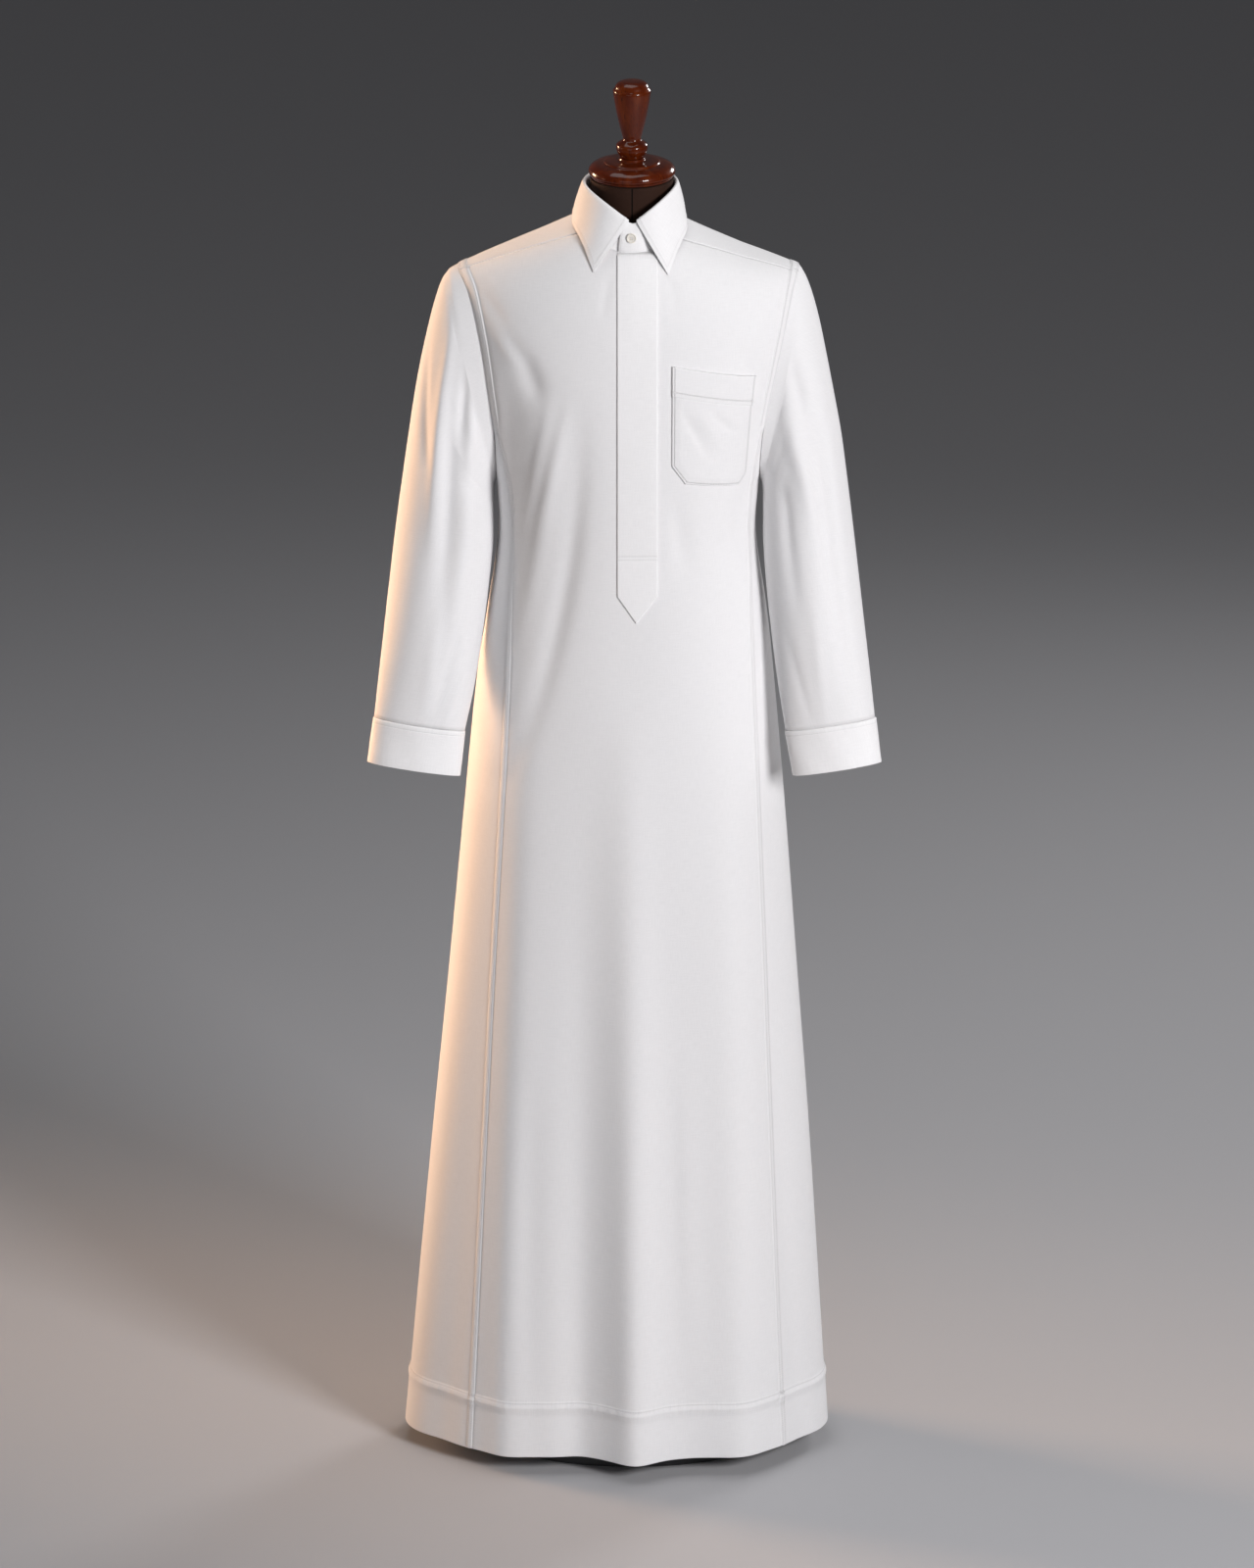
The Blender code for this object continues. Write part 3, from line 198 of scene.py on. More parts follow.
def shoulder_drop(x):
    """How much lower the wearer's left shoulder hangs at x."""
    return 0.0080 * np.clip(x / 0.066, 0, 1) * (1 - 0.55 * np.clip((x - 0.13) / 0.07, 0, 1))


def quads(rows, columns, closed=False):
    """Row and column of each corner of a grid's faces.  Columns run anticlockwise from above."""
    row = np.arange(rows - 1)[:, None, None] + np.array((0, 0, 1, 1))
    column = np.arange(columns if closed else columns - 1)[:, None] + np.array((0, 1, 1, 0))
    return [grid.reshape(-1, 4) for grid in np.broadcast_arrays(row, column)]


def skin(name, points, faces, material):
    """A smooth object from points and faces, without a wall."""
    mesh = bpy.data.meshes.new(name)
    mesh.from_pydata(np.asarray(points).reshape(-1, 3).tolist(), [], [tuple(map(int, face)) for face in faces])
    mesh.shade_smooth()
    mesh.materials.append(material)
    piece = bpy.data.objects.new(name, mesh)
    bpy.context.scene.collection.objects.link(piece)
    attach(piece, "root")
    return piece


def ramp(tree, name, *stops):
    """A colour ramp with its stops, each a place and a colour."""
    elements = node(tree, name, "ValToRGB").color_ramp.elements
    for k, (place, colour) in enumerate(stops):
        stop = elements[k] if k < 2 else elements.new(place)
        stop.position, stop.color = place, (*colour, 1)


def ease(tree, name, start, end, low=1.0, high=0.0):
    """A value that runs smoothly from low to high between two places."""
    node(tree, name, "MapRange", {"interpolation_type": "SMOOTHSTEP"},
         From_Min=start, From_Max=end, To_Min=low, To_Max=high)


def jersey():
    """Dark brown knit, with a sewn seam where the attribute "seam" is near 0."""
    material, tree = new_material("brown jersey", (0.028, 0.0125, 0.0080), 0.8, Sheen_Weight=0.03,
                                  Sheen_Roughness=0.4, Sheen_Tint=(1.0, 0.72, 0.60, 1), Specular_IOR_Level=0.12)
    node(tree, "place", "TexCoord")
    node(tree, "seam", "Attribute", {"attribute_name": "seam"})
    node(tree, "ribs", "TexWave", {"bands_direction": "X"}, Scale=420.0, Distortion=1.5, Detail=2.0)
    node(tree, "mottle", "TexNoise", Scale=60.0, Detail=6.0)
    ramp(tree, "tone", (0.0, (0.0200, 0.0086, 0.0052)), (1.0, (0.0385, 0.0178, 0.0116)))
    ease(tree, "line", 0.0003, 0.0011, 0.0, 1.0)
    node(tree, "dark", "Mix", {"data_type": "RGBA"}, A=(0.0025, 0.0015, 0.0012, 1))
    node(tree, "knit", "Bump", Strength=0.22, Distance=0.0003)
    node(tree, "groove", "Bump", Strength=0.9, Distance=0.0008)
    wire(tree, "place.Object>ribs place.Object>mottle mottle>tone seam.Fac>line line>dark tone>dark.B"
               " dark>shader.Base_Color ribs.Fac>knit.Height line>groove.Height knit>groove.Normal"
               " groove>shader.Normal")
    return material


def add_bust():
    heights = np.concatenate((np.linspace(0.80, 1.44, 50), np.linspace(1.445, 1.5945, 50)))
    turns = np.linspace(0, math.tau, 120, endpoint=False)
    half_width, front, back, power = read_table(BUST_RINGS, heights)[..., None]
    c, s = np.cos(turns)[None], np.sin(turns)[None]
    x, y = half_width * rounded(c, power), np.where(s > 0, back, front) * rounded(s, power)
    shoulder = (np.clip((heights - 1.40) / 0.07, 0, 1) * np.clip((1.575 - heights) / 0.03, 0, 1))[:, None]
    z = heights[:, None] - shoulder_drop(x) * shoulder
    rows, columns = x.shape
    row, column = quads(rows, columns, closed=True)
    faces = (row * columns + column % columns).tolist()
    faces += [list(range(columns - 1, -1, -1)), [(rows - 1) * columns + k for k in range(columns)]]
    piece = skin("bust_cover", spots(x, y, z), faces, jersey())
    seam = np.minimum(np.abs(x), np.abs(y) + np.where(z > 1.53, 1.0, 0.0)).ravel()
    piece.data.attributes.new("seam", "FLOAT", "POINT").data.foreach_set("value", seam.astype(np.float32))
    piece.data.set_sharp_from_angle(angle=math.radians(60))
    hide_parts("form_bust")


add_bust()

# -------------------- dress form: neck cap and finial
# Two pieces of turned mahogany, stained red-brown and varnished to a high gloss:
# a disc with a moulded rim over the neck, and a tapered handle on a bead.
CAP_OUTLINE = metres((
    (44, 1594.8), (47, 1594.9), (48.6, 1595.6), (48.9, 1596.8), (48.9, 1597.6), (49.4, 1598.2), (50.5, 1599),
    (51.2, 1600.5), (51.4, 1602.2), (51.1, 1604.2), (50, 1606.4), (48, 1608.5), (45, 1610.2), (41.5, 1611.4),
    (38, 1612), (34, 1612.4), (33.4, 1612.6), (33, 1613.1), (32.6, 1614.2), (32, 1614.6), (26, 1615),
    (19, 1615.3), (16.4, 1615.5), (15.8, 1616), (15.4, 1617.2), (15, 1618.4), (14.6, 1618.7), (6, 1618.7),
))
FINIAL_OUTLINE = metres((
    (8, 1619), (13.8, 1619), (14.3, 1619.4), (14.4, 1620.4), (15.2, 1621.8), (16.8, 1623.8), (18, 1626),
    (18.6, 1628.4), (18.8, 1631), (18.7, 1633.4), (18.2, 1634.7), (16.8, 1636.2), (14.6, 1637.8),
    (12.2, 1639.1), (10.8, 1640.4), (10.6, 1641.6), (11, 1643.4), (12.1, 1647.4), (13.7, 1653.6),
    (15.7, 1661.5), (17.6, 1670), (19.3, 1678.5), (20.7, 1686.5), (21.8, 1693.5), (22.4, 1697.5),
    (22.6, 1699.6), (22.4, 1701), (21.6, 1702), (20.5, 1703), (20, 1704.2), (19.5, 1705.8), (18.4, 1707.8),
    (16.4, 1709.6), (13.6, 1710.9), (10, 1711.6), (6, 1711.9), (2, 1712),
))


def varnished_mahogany():
    """Red-brown wood: long grain along Z, dark pores, a clear gloss coat."""
    material, tree = new_material("varnished mahogany", (0.10, 0.015, 0.002), 0.30, Coat_Weight=1.0,
                                  Coat_Roughness=0.04, Coat_IOR=1.36, Specular_IOR_Level=0.06)
    node(tree, "place", "TexCoord")
    node(tree, "along", "Mapping", Scale=(1.0, 1.0, 0.07))
    node(tree, "rings", "TexNoise", Scale=80.0, Detail=5.0, Distortion=0.2)
    node(tree, "pores", "TexNoise", Scale=620.0, Detail=3.0)
    ramp(tree, "tone", (0.28, (0.052, 0.0058, 0.0009)), (0.74, (0.128, 0.0225, 0.0026)),
         (0.52, (0.080, 0.0108, 0.0012)))
    node(tree, "dots", "MapRange", From_Min=0.30, From_Max=0.42)
    node(tree, "pored", "Mix", {"data_type": "RGBA"}, A=(0.034, 0.0042, 0.0008, 1))
    node(tree, "gloss", "MapRange", To_Min=0.24, To_Max=0.38)
    node(tree, "bump", "Bump", Strength=0.06, Distance=0.0003)
    wire(tree, "place.Object>along along>rings along>pores rings>tone pores>dots dots>pored tone>pored.B"
               " pored>shader.Base_Color rings>gloss gloss>shader.Roughness pores>bump.Height bump>shader.Normal")
    return material


MAHOGANY = varnished_mahogany()
for name, outline, stands_for in (("turned_cap", CAP_OUTLINE, "neck_cap"),
                                  ("turned_finial", FINIAL_OUTLINE, "finial")):
    wood = turned(name, outline, 48)
    lay_down(name, MAHOGANY, stands_for, slot="mahogany")
    wood.data.shade_smooth()
    smooth = wood.modifiers.new("smooth", "SUBSURF")
    smooth.levels = smooth.render_levels = 1

# -------------------- robe: front, back and side gores
# Fine white cotton poplin, cut as one front, one back and two side gores that
# flare to the hem.  The gore seams are flat-felled with two rows of stitches,
# and the hem is turned up 7 cm and stitched through.
HEM_Z, HEM_TOP = 0.022, 0.0905
GORE_TOP, JUNCTION = 1.18, 1.30      # from the first height the gore seams turn out, to the armhole at the second
LAP, SEAM_ROWS = 0.0068, (0.0012, 0.0056)     # felled seam: its width and its two rows of stitches
ARM_LAP, ARM_ROWS = 0.0105, (0.0022, 0.0091)  # the same for the topstitched allowance round the armhole
ARM_FOOT, ARM_MIDDLE, ARM_HALF, ARM_HALF_DEPTH = 1.225, 1.3625, 0.1375, 0.062
YOKE_BACK_Z = 1.44
DOME_FOOT, DOME_RISE, DOME_POWER = 1.25, 0.25, 2.75     # where and how the rings close over the shoulders
LAST_RING = 1.4995                   # the last height at which a ring can still be measured
RIDGE_Z, RIDGE_SLOPE, RIDGE_START = 1.5420, 0.402, 0.066
NECK_X, NECK_Y, NECK_HALF_X, NECK_HALF_Y = -0.003, -0.008, 0.060, 0.066     # the neckline, from above
# Rings: height, half width at -X and at +X, depth to the front and to the back, power.
ROBE_RINGS = metres((
    (22, 274, 237, 138, 144, 2.05), (210, 257.1, 225.3, 134.5, 139, 2.12), (410, 238.4, 212.5, 131, 133, 2.2),
    (610, 218.6, 197.5, 127.5, 127, 2.26), (810, 200, 182.6, 124.5, 121.5, 2.3),
    (980, 183.5, 168.2, 120.5, 113, 2.3), (1060, 171.2, 159.8, 118.5, 106, 2.3),
    (1158, 158.2, 146.6, 118, 103, 2.32), (1225, 160, 150, 119.5, 108, 2.36),
    (1260, 160.5, 151, 120.5, 111, 2.4), (1300, 162.5, 154.5, 121, 114, 2.42),
    (1357, 170, 165.5, 121, 116, 2.45), (1413, 178.5, 177, 121, 116, 2.45), (1473, 192, 189, 121, 115, 2.45),
    (1500, 204.5, 196.5, 121, 115, 2.45),
), 1)
# Gore seams: height, distance from x = 0 at -X and at +X.
GORE_SEAMS = metres(((22, 200, 187), (600, 172, 164), (950, 152, 148), (1180, 143, 138.5)))
# Long folds: top height and x, middle x, bottom height and x, width, rise.
LONG_FOLDS = {
    "front": metres((
        (1000, -3, 1, 22, 4, 27, 19.5), (950, -56, -60, 22, -64, 28, -10),
        (1100, -115, -135, 22, -150, 26, 9.5), (800, 52, 60, 22, 70, 22, -2), (1020, 108, 122, 22, 132, 30, 11),
        (900, -165, -200, 22, -240, 26, -10), (900, 150, 178, 22, 212, 22, -9),
        (1360, -60, -82, 850, -152, 13, -5), (1340, -85, -106, 1020, -138, 12, 4.2),
    )),
    "back": metres((
        (980, -90, -105, 22, -125, 34, 12), (900, -20, -22, 22, -30, 32, -8), (1020, 62, 70, 22, 80, 32, 13),
        (1300, -20, 0, 980, 10, 26, -5),
    )),
}
# Soft creases: x and z at the start, the middle and the end, the width on the
# first and on the other side, the rise, and its share at start and end.
BODY_CREASES = {
    "front": metres((
        (-177, 1470, -163, 1452, -149, 1436, 5, 8, -1.4, 0.4, 0.1),
        (-149, 1424, -133, 1405, -114, 1386, 6, 10, -1.6, 0.2, 0.1),
        (-168, 1440, -150, 1410, -128, 1378, 6, 7, 1.3, 0.1, 0.1),
        (-134, 1402, -118, 1374, -109, 1345, 12, 12, -4.4, 0, 0),
        (-148, 1390, -144, 1300, -146, 1190, 10, 26, -3.6, 0, 0),
        (-94, 1360, -111, 1275, -130, 1170, 6, 9, 2.6, 0, 0),
        (-74, 1360, -92, 1270, -112, 1170, 6, 8, 1.8, 0, 0),
        (50, 1236, 57, 1185, 64, 1125, 10, 13, -2.2, 0.1, 0),
        (122, 1420, 140, 1380, 156, 1340, 7, 8, -2, 0.1, 0.2),
        (150, 1452, 159, 1420, 161, 1385, 5, 7, -1.4, 0.2, 0.1),
        (133, 1240, 126, 1200, 115, 1150, 7, 9, -1.5, 0.2, 0),
        (40, 1505, 47, 1480, 52, 1448, 4, 6, -1.2, 0.4, 0), (-26, 1500, -30, 1478, -36, 1450, 5, 5, -1, 0.4, 0),
        (64, 560, 66, 330, 74, 110, 10, 16, 1.8, 0, 0.2),
        (-119, 520, -123, 330, -126, 120, 12, 14, -1.8, 0, 0.3),
    ), 2),
    "back": metres((
        (-150, 1400, -120, 1330, -100, 1240, 9, 11, -2.6, 0.1, 0),
        (145, 1390, 124, 1310, 104, 1230, 8, 12, -2.4, 0.1, 0),
        (-70, 1300, -76, 1150, -90, 980, 10, 14, 3, 0, 0.1), (56, 1270, 54, 1150, 60, 1000, 11, 9, 2.8, 0, 0.1),
        (10, 560, 6, 300, 2, 110, 12, 16, 2, 0, 0.3),
    ), 2),
}


def new_group(name, inputs, outputs):
    """A node group: its inputs with their values, or None for a place, and its outputs."""
    group = bpy.data.node_groups.new(name, "ShaderNodeTree")
    for side, sockets in (("Input", inputs), ("Output", dict.fromkeys(outputs, 0.0))):
        for key, value in sockets.items():
            kind = "NodeSocketVector" if value is None else "NodeSocketFloat"
            socket = group.interface.new_socket(key, in_out=side.upper(), socket_type=kind)
            if value is not None:
                socket.default_value = value
        group.nodes.new("NodeGroup" + side).name = side
    return group


def maths(tree, *steps):
    """Steps of arithmetic: name, operation and, where it is fixed, the second number."""
    for name, operation, *second in steps:
        made = node(tree, name, "Math", {"operation": operation})
        if second:
            made.inputs[1].default_value = second[0]


def stretch(tree, name, factors):
    """A vector stretched along its axes."""
    node(tree, name, "VectorMath", {"operation": "MULTIPLY"}).inputs[1].default_value = factors


def woven_group():
    """Plain weave with slubs: the height of the threads and their fleck."""
    group = new_group("plain weave", {"Place": None, "Threads": 10500}, ("Height", "Fleck"))
    node(group, "apart", "SeparateXYZ")
    maths(group, ("cross", "MULTIPLY"), ("both", "ADD"), ("total", "MULTIPLY_ADD", 0.25),
          ("half", "MULTIPLY", 0.5))
    for k, (axis, factors) in enumerate((("X", (70, 1100, 1)), ("Y", (1100, 70, 1)))):
        maths(group, ("turn" + axis, "MULTIPLY"), ("wave" + axis, "SINE"))
        stretch(group, "pull" + axis, factors)
        node(group, "slub" + axis, "TexNoise", Scale=1.0, Detail=2.0, Roughness=0.55)
        wire(group, "apart.{0}>turn{0} Input.Threads>turn{0}.1 turn{0}>wave{0} wave{0}>cross.{1}"
                    " Input.Place>pull{0} pull{0}>slub{0} slub{0}>both.{1}".format(axis, k))
    wire(group, "Input.Place>apart cross>total both>total.2 both>half total>Output.Height half>Output.Fleck")
    return group


def stitching_group():
    """A row of lockstitches: off is the distance from it, run the place along it.  Its second output is painted
    shade, darkest on the row.
    """
    group = new_group("lockstitch", {"Off": 1.0, "Run": 0.0, "Stitch": 0.0030, "Thickness": 0.00045},
                      ("Thread", "Groove", "Height"))
    maths(group, ("count", "DIVIDE"), ("place", "FRACT"), ("centred", "SUBTRACT", 0.5), ("ends", "ABSOLUTE"),
          ("across", "DIVIDE"), ("thread", "MULTIPLY"), ("height", "ADD"))
    ease(group, "long", 0.34, 0.48)
    ease(group, "wide", 0.3, 1.0)
    ease(group, "dent", 0.6, 3.0, -1.0)
    # painted shade: strongest on the stitch row and gone a little way off it
    ease(group, "shade", 0.4, 2.2, 0.42)
    wire(group, "Input.Run>count Input.Stitch>count.1 count>place place>centred centred>ends ends>long"
                " Input.Off>across Input.Thickness>across.1 across>wide long>thread wide>thread.1 across>dent"
                " thread>height dent>height.1 across>shade shade>Output.Groove thread>Output.Thread"
                " height>Output.Height")
    return group


WOVEN, STITCHING = woven_group(), stitching_group()


def poplin(name, low, high, roughness, limp, groove, bite):
    """White cotton: weave, thread, puckers along the stitches, soft unevenness, and painted shade in the colour
    groove along the stitch rows.
    """
    material, tree = new_material(name, high, roughness, Sheen_Weight=0.18, Sheen_Roughness=0.4,
                                  Specular_IOR_Level=0.35)
    node(tree, "place", "UVMap", {"uv_map": "cut"})
    for label, key in (("off", "stitch_off"), ("run", "stitch_run"), ("amount", "pucker")):
        node(tree, label, "Attribute", {"attribute_name": key})
    for label, group in (("weave", WOVEN), ("stitches", STITCHING)):
        node(tree, label, "Group", {"node_tree": group})
    # The second mix paints shade along the stitch rows, darkening the cloth towards the colour groove.
    for label, colours in (("cloth", {"A": low, "B": high}), ("sunk", {"B": groove}),
                           ("threaded", {"B": (0.93, 0.92, 0.92)})):
        node(tree, label, "Mix", {"data_type": "RGBA"}, **{key: (*colour, 1) for key, colour in colours.items()})
    node(tree, "tone", "MapRange", From_Min=0.35, From_Max=0.65)
    node(tree, "spot", "CombineXYZ")
    stretch(tree, "packed", (110, 30, 1))
    node(tree, "ripple", "TexNoise", Scale=1.0, Detail=2.5, Roughness=0.5)
    ease(tree, "near", 0.001, 0.016)
    maths(tree, ("strength", "MULTIPLY"), ("puckered", "MULTIPLY"))
    node(tree, "rumple", "TexNoise", Scale=22.0, Detail=3.0, Roughness=0.45)
    for label, strength, distance in (("fine", 0.30, 0.00012), ("soft", limp, 0.0011), ("drawn", 0.85, 0.0011),
                                      ("sewn", bite, 0.0006)):
        node(tree, label, "Bump", Strength=strength, Distance=distance)
    wire(tree, "place.UV>weave.Place off.Fac>stitches.Off run.Fac>stitches.Run weave.Fleck>tone tone>cloth"
               " cloth>sunk.A stitches.Groove>sunk sunk>threaded.A stitches.Thread>threaded"
               " threaded>shader.Base_Color run.Fac>spot.X off.Fac>spot.Y spot>packed packed>ripple off.Fac>near"
               " near>strength amount.Fac>strength.1 strength>puckered ripple>puckered.1 place.UV>rumple"
               " weave.Height>fine.Height rumple>soft.Height puckered>drawn.Height stitches.Height>sewn.Height"
               " fine>soft.Normal soft>drawn.Normal drawn>sewn.Normal sewn>shader.Normal")
    return material


# The fifth argument is the colour of the painted shade along the stitch rows.
POPLIN = poplin("white poplin", (0.800, 0.795, 0.800), (0.850, 0.845, 0.850), 0.78, 0.30,
                (0.43, 0.42, 0.43), 0.70)
CRISP = poplin("interlined poplin", (0.860, 0.855, 0.858), (0.915, 0.910, 0.913), 0.74, 0.14,
               (0.64, 0.63, 0.64), 0.40)


def shoulder_z(x):
    """Height of the shoulder ridge over x, rounded across the neck."""
    reach = np.abs(x) / RIDGE_START
    return np.where(reach < 1, RIDGE_Z + RIDGE_SLOPE * RIDGE_START / 2 * (1 - reach**2),
                    RIDGE_Z - RIDGE_SLOPE * (np.abs(x) - RIDGE_START)) - shoulder_drop(x)


def dome_share(height):
    """How far a ring has closed over the shoulders: 0 at the chest, 1 at the ridge."""
    return np.clip((height - DOME_FOOT) / DOME_RISE, 0, 1)


def arm_reach(height):
    """Half the width of the armhole, front to back."""
    return ARM_HALF_DEPTH * np.sqrt(np.maximum(1 - ((height - ARM_MIDDLE) / ARM_HALF) ** 2, 0))


def arm_share(height, depth):
    """That half width as a share of the ring's depth."""
    return np.where(depth > 0.004, np.minimum(arm_reach(height) / np.maximum(depth, 1e-4), 0.6), 0.45)


def half_ring(height, right, back):
    """Width, depth and power of one quarter of the robe's ring at a height."""
    left_side, right_side, fore, rear, power = read_table(ROBE_RINGS, height)
    depth = np.where(back, rear, fore) * np.maximum(1 - dome_share(height) ** DOME_POWER, 0) ** (1 / DOME_POWER)
    share = arm_share(height, depth)
    return np.where(right, right_side, left_side) / (1 - share**power) ** (1 / power), depth, power


def lift(x, y, height):
    """Height of a point of the robe: above the chest its rings rise to the shoulders."""
    share = dome_share(height)
    nape = 0.012 * np.exp(-((x / 0.06) ** 2)) * np.clip(y / 0.058, 0, 1) * share**6
    return np.where(share == 0, height, DOME_FOOT + share * (shoulder_z(x) - DOME_FOOT) + nape)


def ring_point(angle, height):
    """A point of the robe before its folds.  Angle 0 is +X, -90 degrees the front."""
    c, s = np.cos(angle), np.sin(angle)
    width, depth, power = half_ring(height, c > 0, s > 0)
    x, y = width * rounded(c, power), depth * rounded(s, power)
    return spots(x, y, lift(x, y, height))


def unit(vectors):
    return vectors / np.maximum(np.linalg.norm(vectors, axis=-1, keepdims=True), 1e-12)


def crease_rise(x, z, creases):
    """Sum of the soft creases at places on one face."""
    rise = np.zeros(np.broadcast(x, z).shape)
    for x0, z0, x1, z1, x2, z2, near, far, height, first, last in creases:
        chord = np.array((x2 - x0, z2 - z0))
        length = np.hypot(*chord)
        along = ((x - x0) * chord[0] + (z - z0) * chord[1]) / length**2
        t = np.clip(along, 0, 1)
        bow = ((x1 - (x0 + x2) / 2) * -chord[1] + (z1 - (z0 + z2) / 2) * chord[0]) / length
        off = ((x - x0) * -chord[1] + (z - z0) * chord[0]) / length - bow * 4 * t * (1 - t)
        share = first + (last - first) * t + (1 - first - (last - first) * t) * np.sin(np.pi * t) ** 0.9
        beyond = np.abs(along - t) * length
        width = np.where(off < 0, near, far)
        rise = rise + height * share * np.exp(-((off / width) ** 2) - (beyond / (1.5 * near)) ** 2)
    return rise


def fold_rise(x, z, folds):
    """Sum of the long folds at places on one face."""
    rise = np.zeros(np.broadcast(x, z).shape)
    for top_z, top_x, mid_x, low_z, low_x, width, height in folds:
        t = np.clip((top_z - z) / (top_z - low_z), 0, 1)
        centre = top_x * (1 - t) * (1 - 2 * t) + mid_x * 4 * t * (1 - t) + low_x * t * (2 * t - 1)
        reach = t**0.9 if low_z == HEM_Z else np.maximum(np.sin(math.pi * t), 0) ** 1.2
        rise = rise + height * reach * np.exp(-(((x - centre) / width) ** 2))
    return rise


def robe_point(angle, height):
    """Points and normals of the robe with its folds."""
    step = 0.002
    high = np.minimum(height + step, LAST_RING)
    point = ring_point(angle, height)
    normal = unit(np.cross(ring_point(angle + step, height) - ring_point(angle - step, height),
                           ring_point(angle, high) - ring_point(angle, high - 2 * step)))
    fade = np.minimum(np.abs(np.sin(angle)) * 1.4, 1)
    x, z = point[..., 0], point[..., 2]
    rise = np.where(np.sin(angle) > 0, *(fold_rise(x, z, LONG_FOLDS[face]) + crease_rise(x, z, BODY_CREASES[face])
                                         for face in ("back", "front")))
    return point + normal * (rise * fade)[..., None], normal


def face_angle(x, height, back):
    """The angle at which the ring of that height has the given x."""
    width, _, power = half_ring(height, x > 0, back)
    turn = np.arccos(np.sign(x) * np.minimum(np.abs(x) / width, 1) ** (power / 2))
    return turn if back else -turn


def seam_angle(height, right, back):
    """Edge of the front or back: the gore seam, and above it the armhole."""
    left_x, right_x = read_table(GORE_SEAMS, np.minimum(height, GORE_TOP))
    low = face_angle(right_x if right else -left_x, np.minimum(height, GORE_TOP), back)
    above = np.maximum(height, JUNCTION)
    _, depth, power = half_ring(above, right, back)
    lean = np.arcsin(arm_share(above, depth) ** (power / 2))
    lean = lean if right else math.pi - lean
    high = lean if back else -lean
    return low + (high - low) * np.clip((height - GORE_TOP) / (JUNCTION - GORE_TOP), 0, 1) ** 1.5


def find_change(test, low, high, shape):
    """Where test(x) turns from False at low to True at high."""
    low, high = np.full(shape, low), np.full(shape, high)
    for _ in range(30):
        middle = (low + high) / 2
        past = test(middle)
        low, high = np.where(past, low, middle), np.where(past, middle, high)
    return (low + high) / 2


def across(share, height, back):
    """Angle across the front or back, left to right seen from its own outside."""
    first, last = seam_angle(height, back, back), seam_angle(height, not back, back)
    return first + (last - first) * share


def yoke_front_y(x):
    """Depth of the yoke's front seam."""
    return 0.042 - 0.026 * (np.abs(x) - 0.063) / 0.137


def front_top(share):
    """Where a column of the front meets the neckline or the yoke."""
    def past(height):
        point = ring_point(across(share, height, False), height)
        neck = np.hypot((point[..., 0] - NECK_X) / NECK_HALF_X, (point[..., 1] - NECK_Y) / NECK_HALF_Y) < 1
        return neck | (np.abs(point[..., 1]) < yoke_front_y(point[..., 0]))
    return find_change(past, 1.40, LAST_RING, share.shape)


def back_top(share):
    """Where a column of the back meets the yoke's straight seam."""
    return find_change(lambda height: ring_point(across(share, height, True), height)[..., 2] > YOKE_BACK_Z,
                       1.35, 1.49, share.shape)


def gore_angle(share, height, right):
    """Angle across a gore, from seam to seam anticlockwise."""
    first, last = seam_angle(height, right, not right), seam_angle(height, right, right)
    return first + (last + (0 if right else math.tau) - first) * share


def gore_top(share, right):
    """Where a column of a gore meets the armhole."""
    def inside(height):
        point = ring_point(gore_angle(share, height, right), height)
        return np.abs(point[..., 1]) <= arm_reach(height)
    top = find_change(inside, ARM_FOOT, JUNCTION, share.shape)
    top = np.where(inside(np.full(share.shape, ARM_FOOT)), ARM_FOOT, top)
    return np.where((share <= 0) | (share >= 1), JUNCTION, top)


def stretches(*parts):
    """Heights from several stretches of (start, end, step)."""
    return np.concatenate([np.arange(start, end - step / 2, step) for start, end, step in parts])


SKIRT_ROWS = stretches((HEM_Z, 0.0256, 0.0012), (0.0256, 0.084, 0.0058), (0.084, 0.098, 0.0010),
                       (0.098, GORE_TOP, 0.0078))
ARMPIT_ROWS = np.linspace(GORE_TOP, JUNCTION, 21)
EDGE_STEPS = np.array((0, 0.6, 1.2, 1.8, 3, 4.5, 5.6, 6.2, 6.8, 7.6, 9, 9.8, 10.5, 11.3, 12.5, 15)) / 1000


def dome_rows(top, count):
    """Heights from the junction to the top, closer together near the ridge."""
    low, high = (np.arcsin(dome_share(height) ** (DOME_POWER / 2)) for height in (JUNCTION, top))
    turns = low + (high - low) * (np.arange(1, count + 1) / count)[:, None]
    return DOME_FOOT + DOME_RISE * np.sin(turns) ** (2 / DOME_POWER)


def lengths(points, axis=0):
    """Running lengths along an axis of a grid of points."""
    points = np.moveaxis(points, axis, 0)
    steps = np.linalg.norm(np.diff(points, axis=0), axis=2)
    return np.moveaxis(np.concatenate((np.zeros((1, points.shape[1])), steps.cumsum(axis=0))), 0, axis)


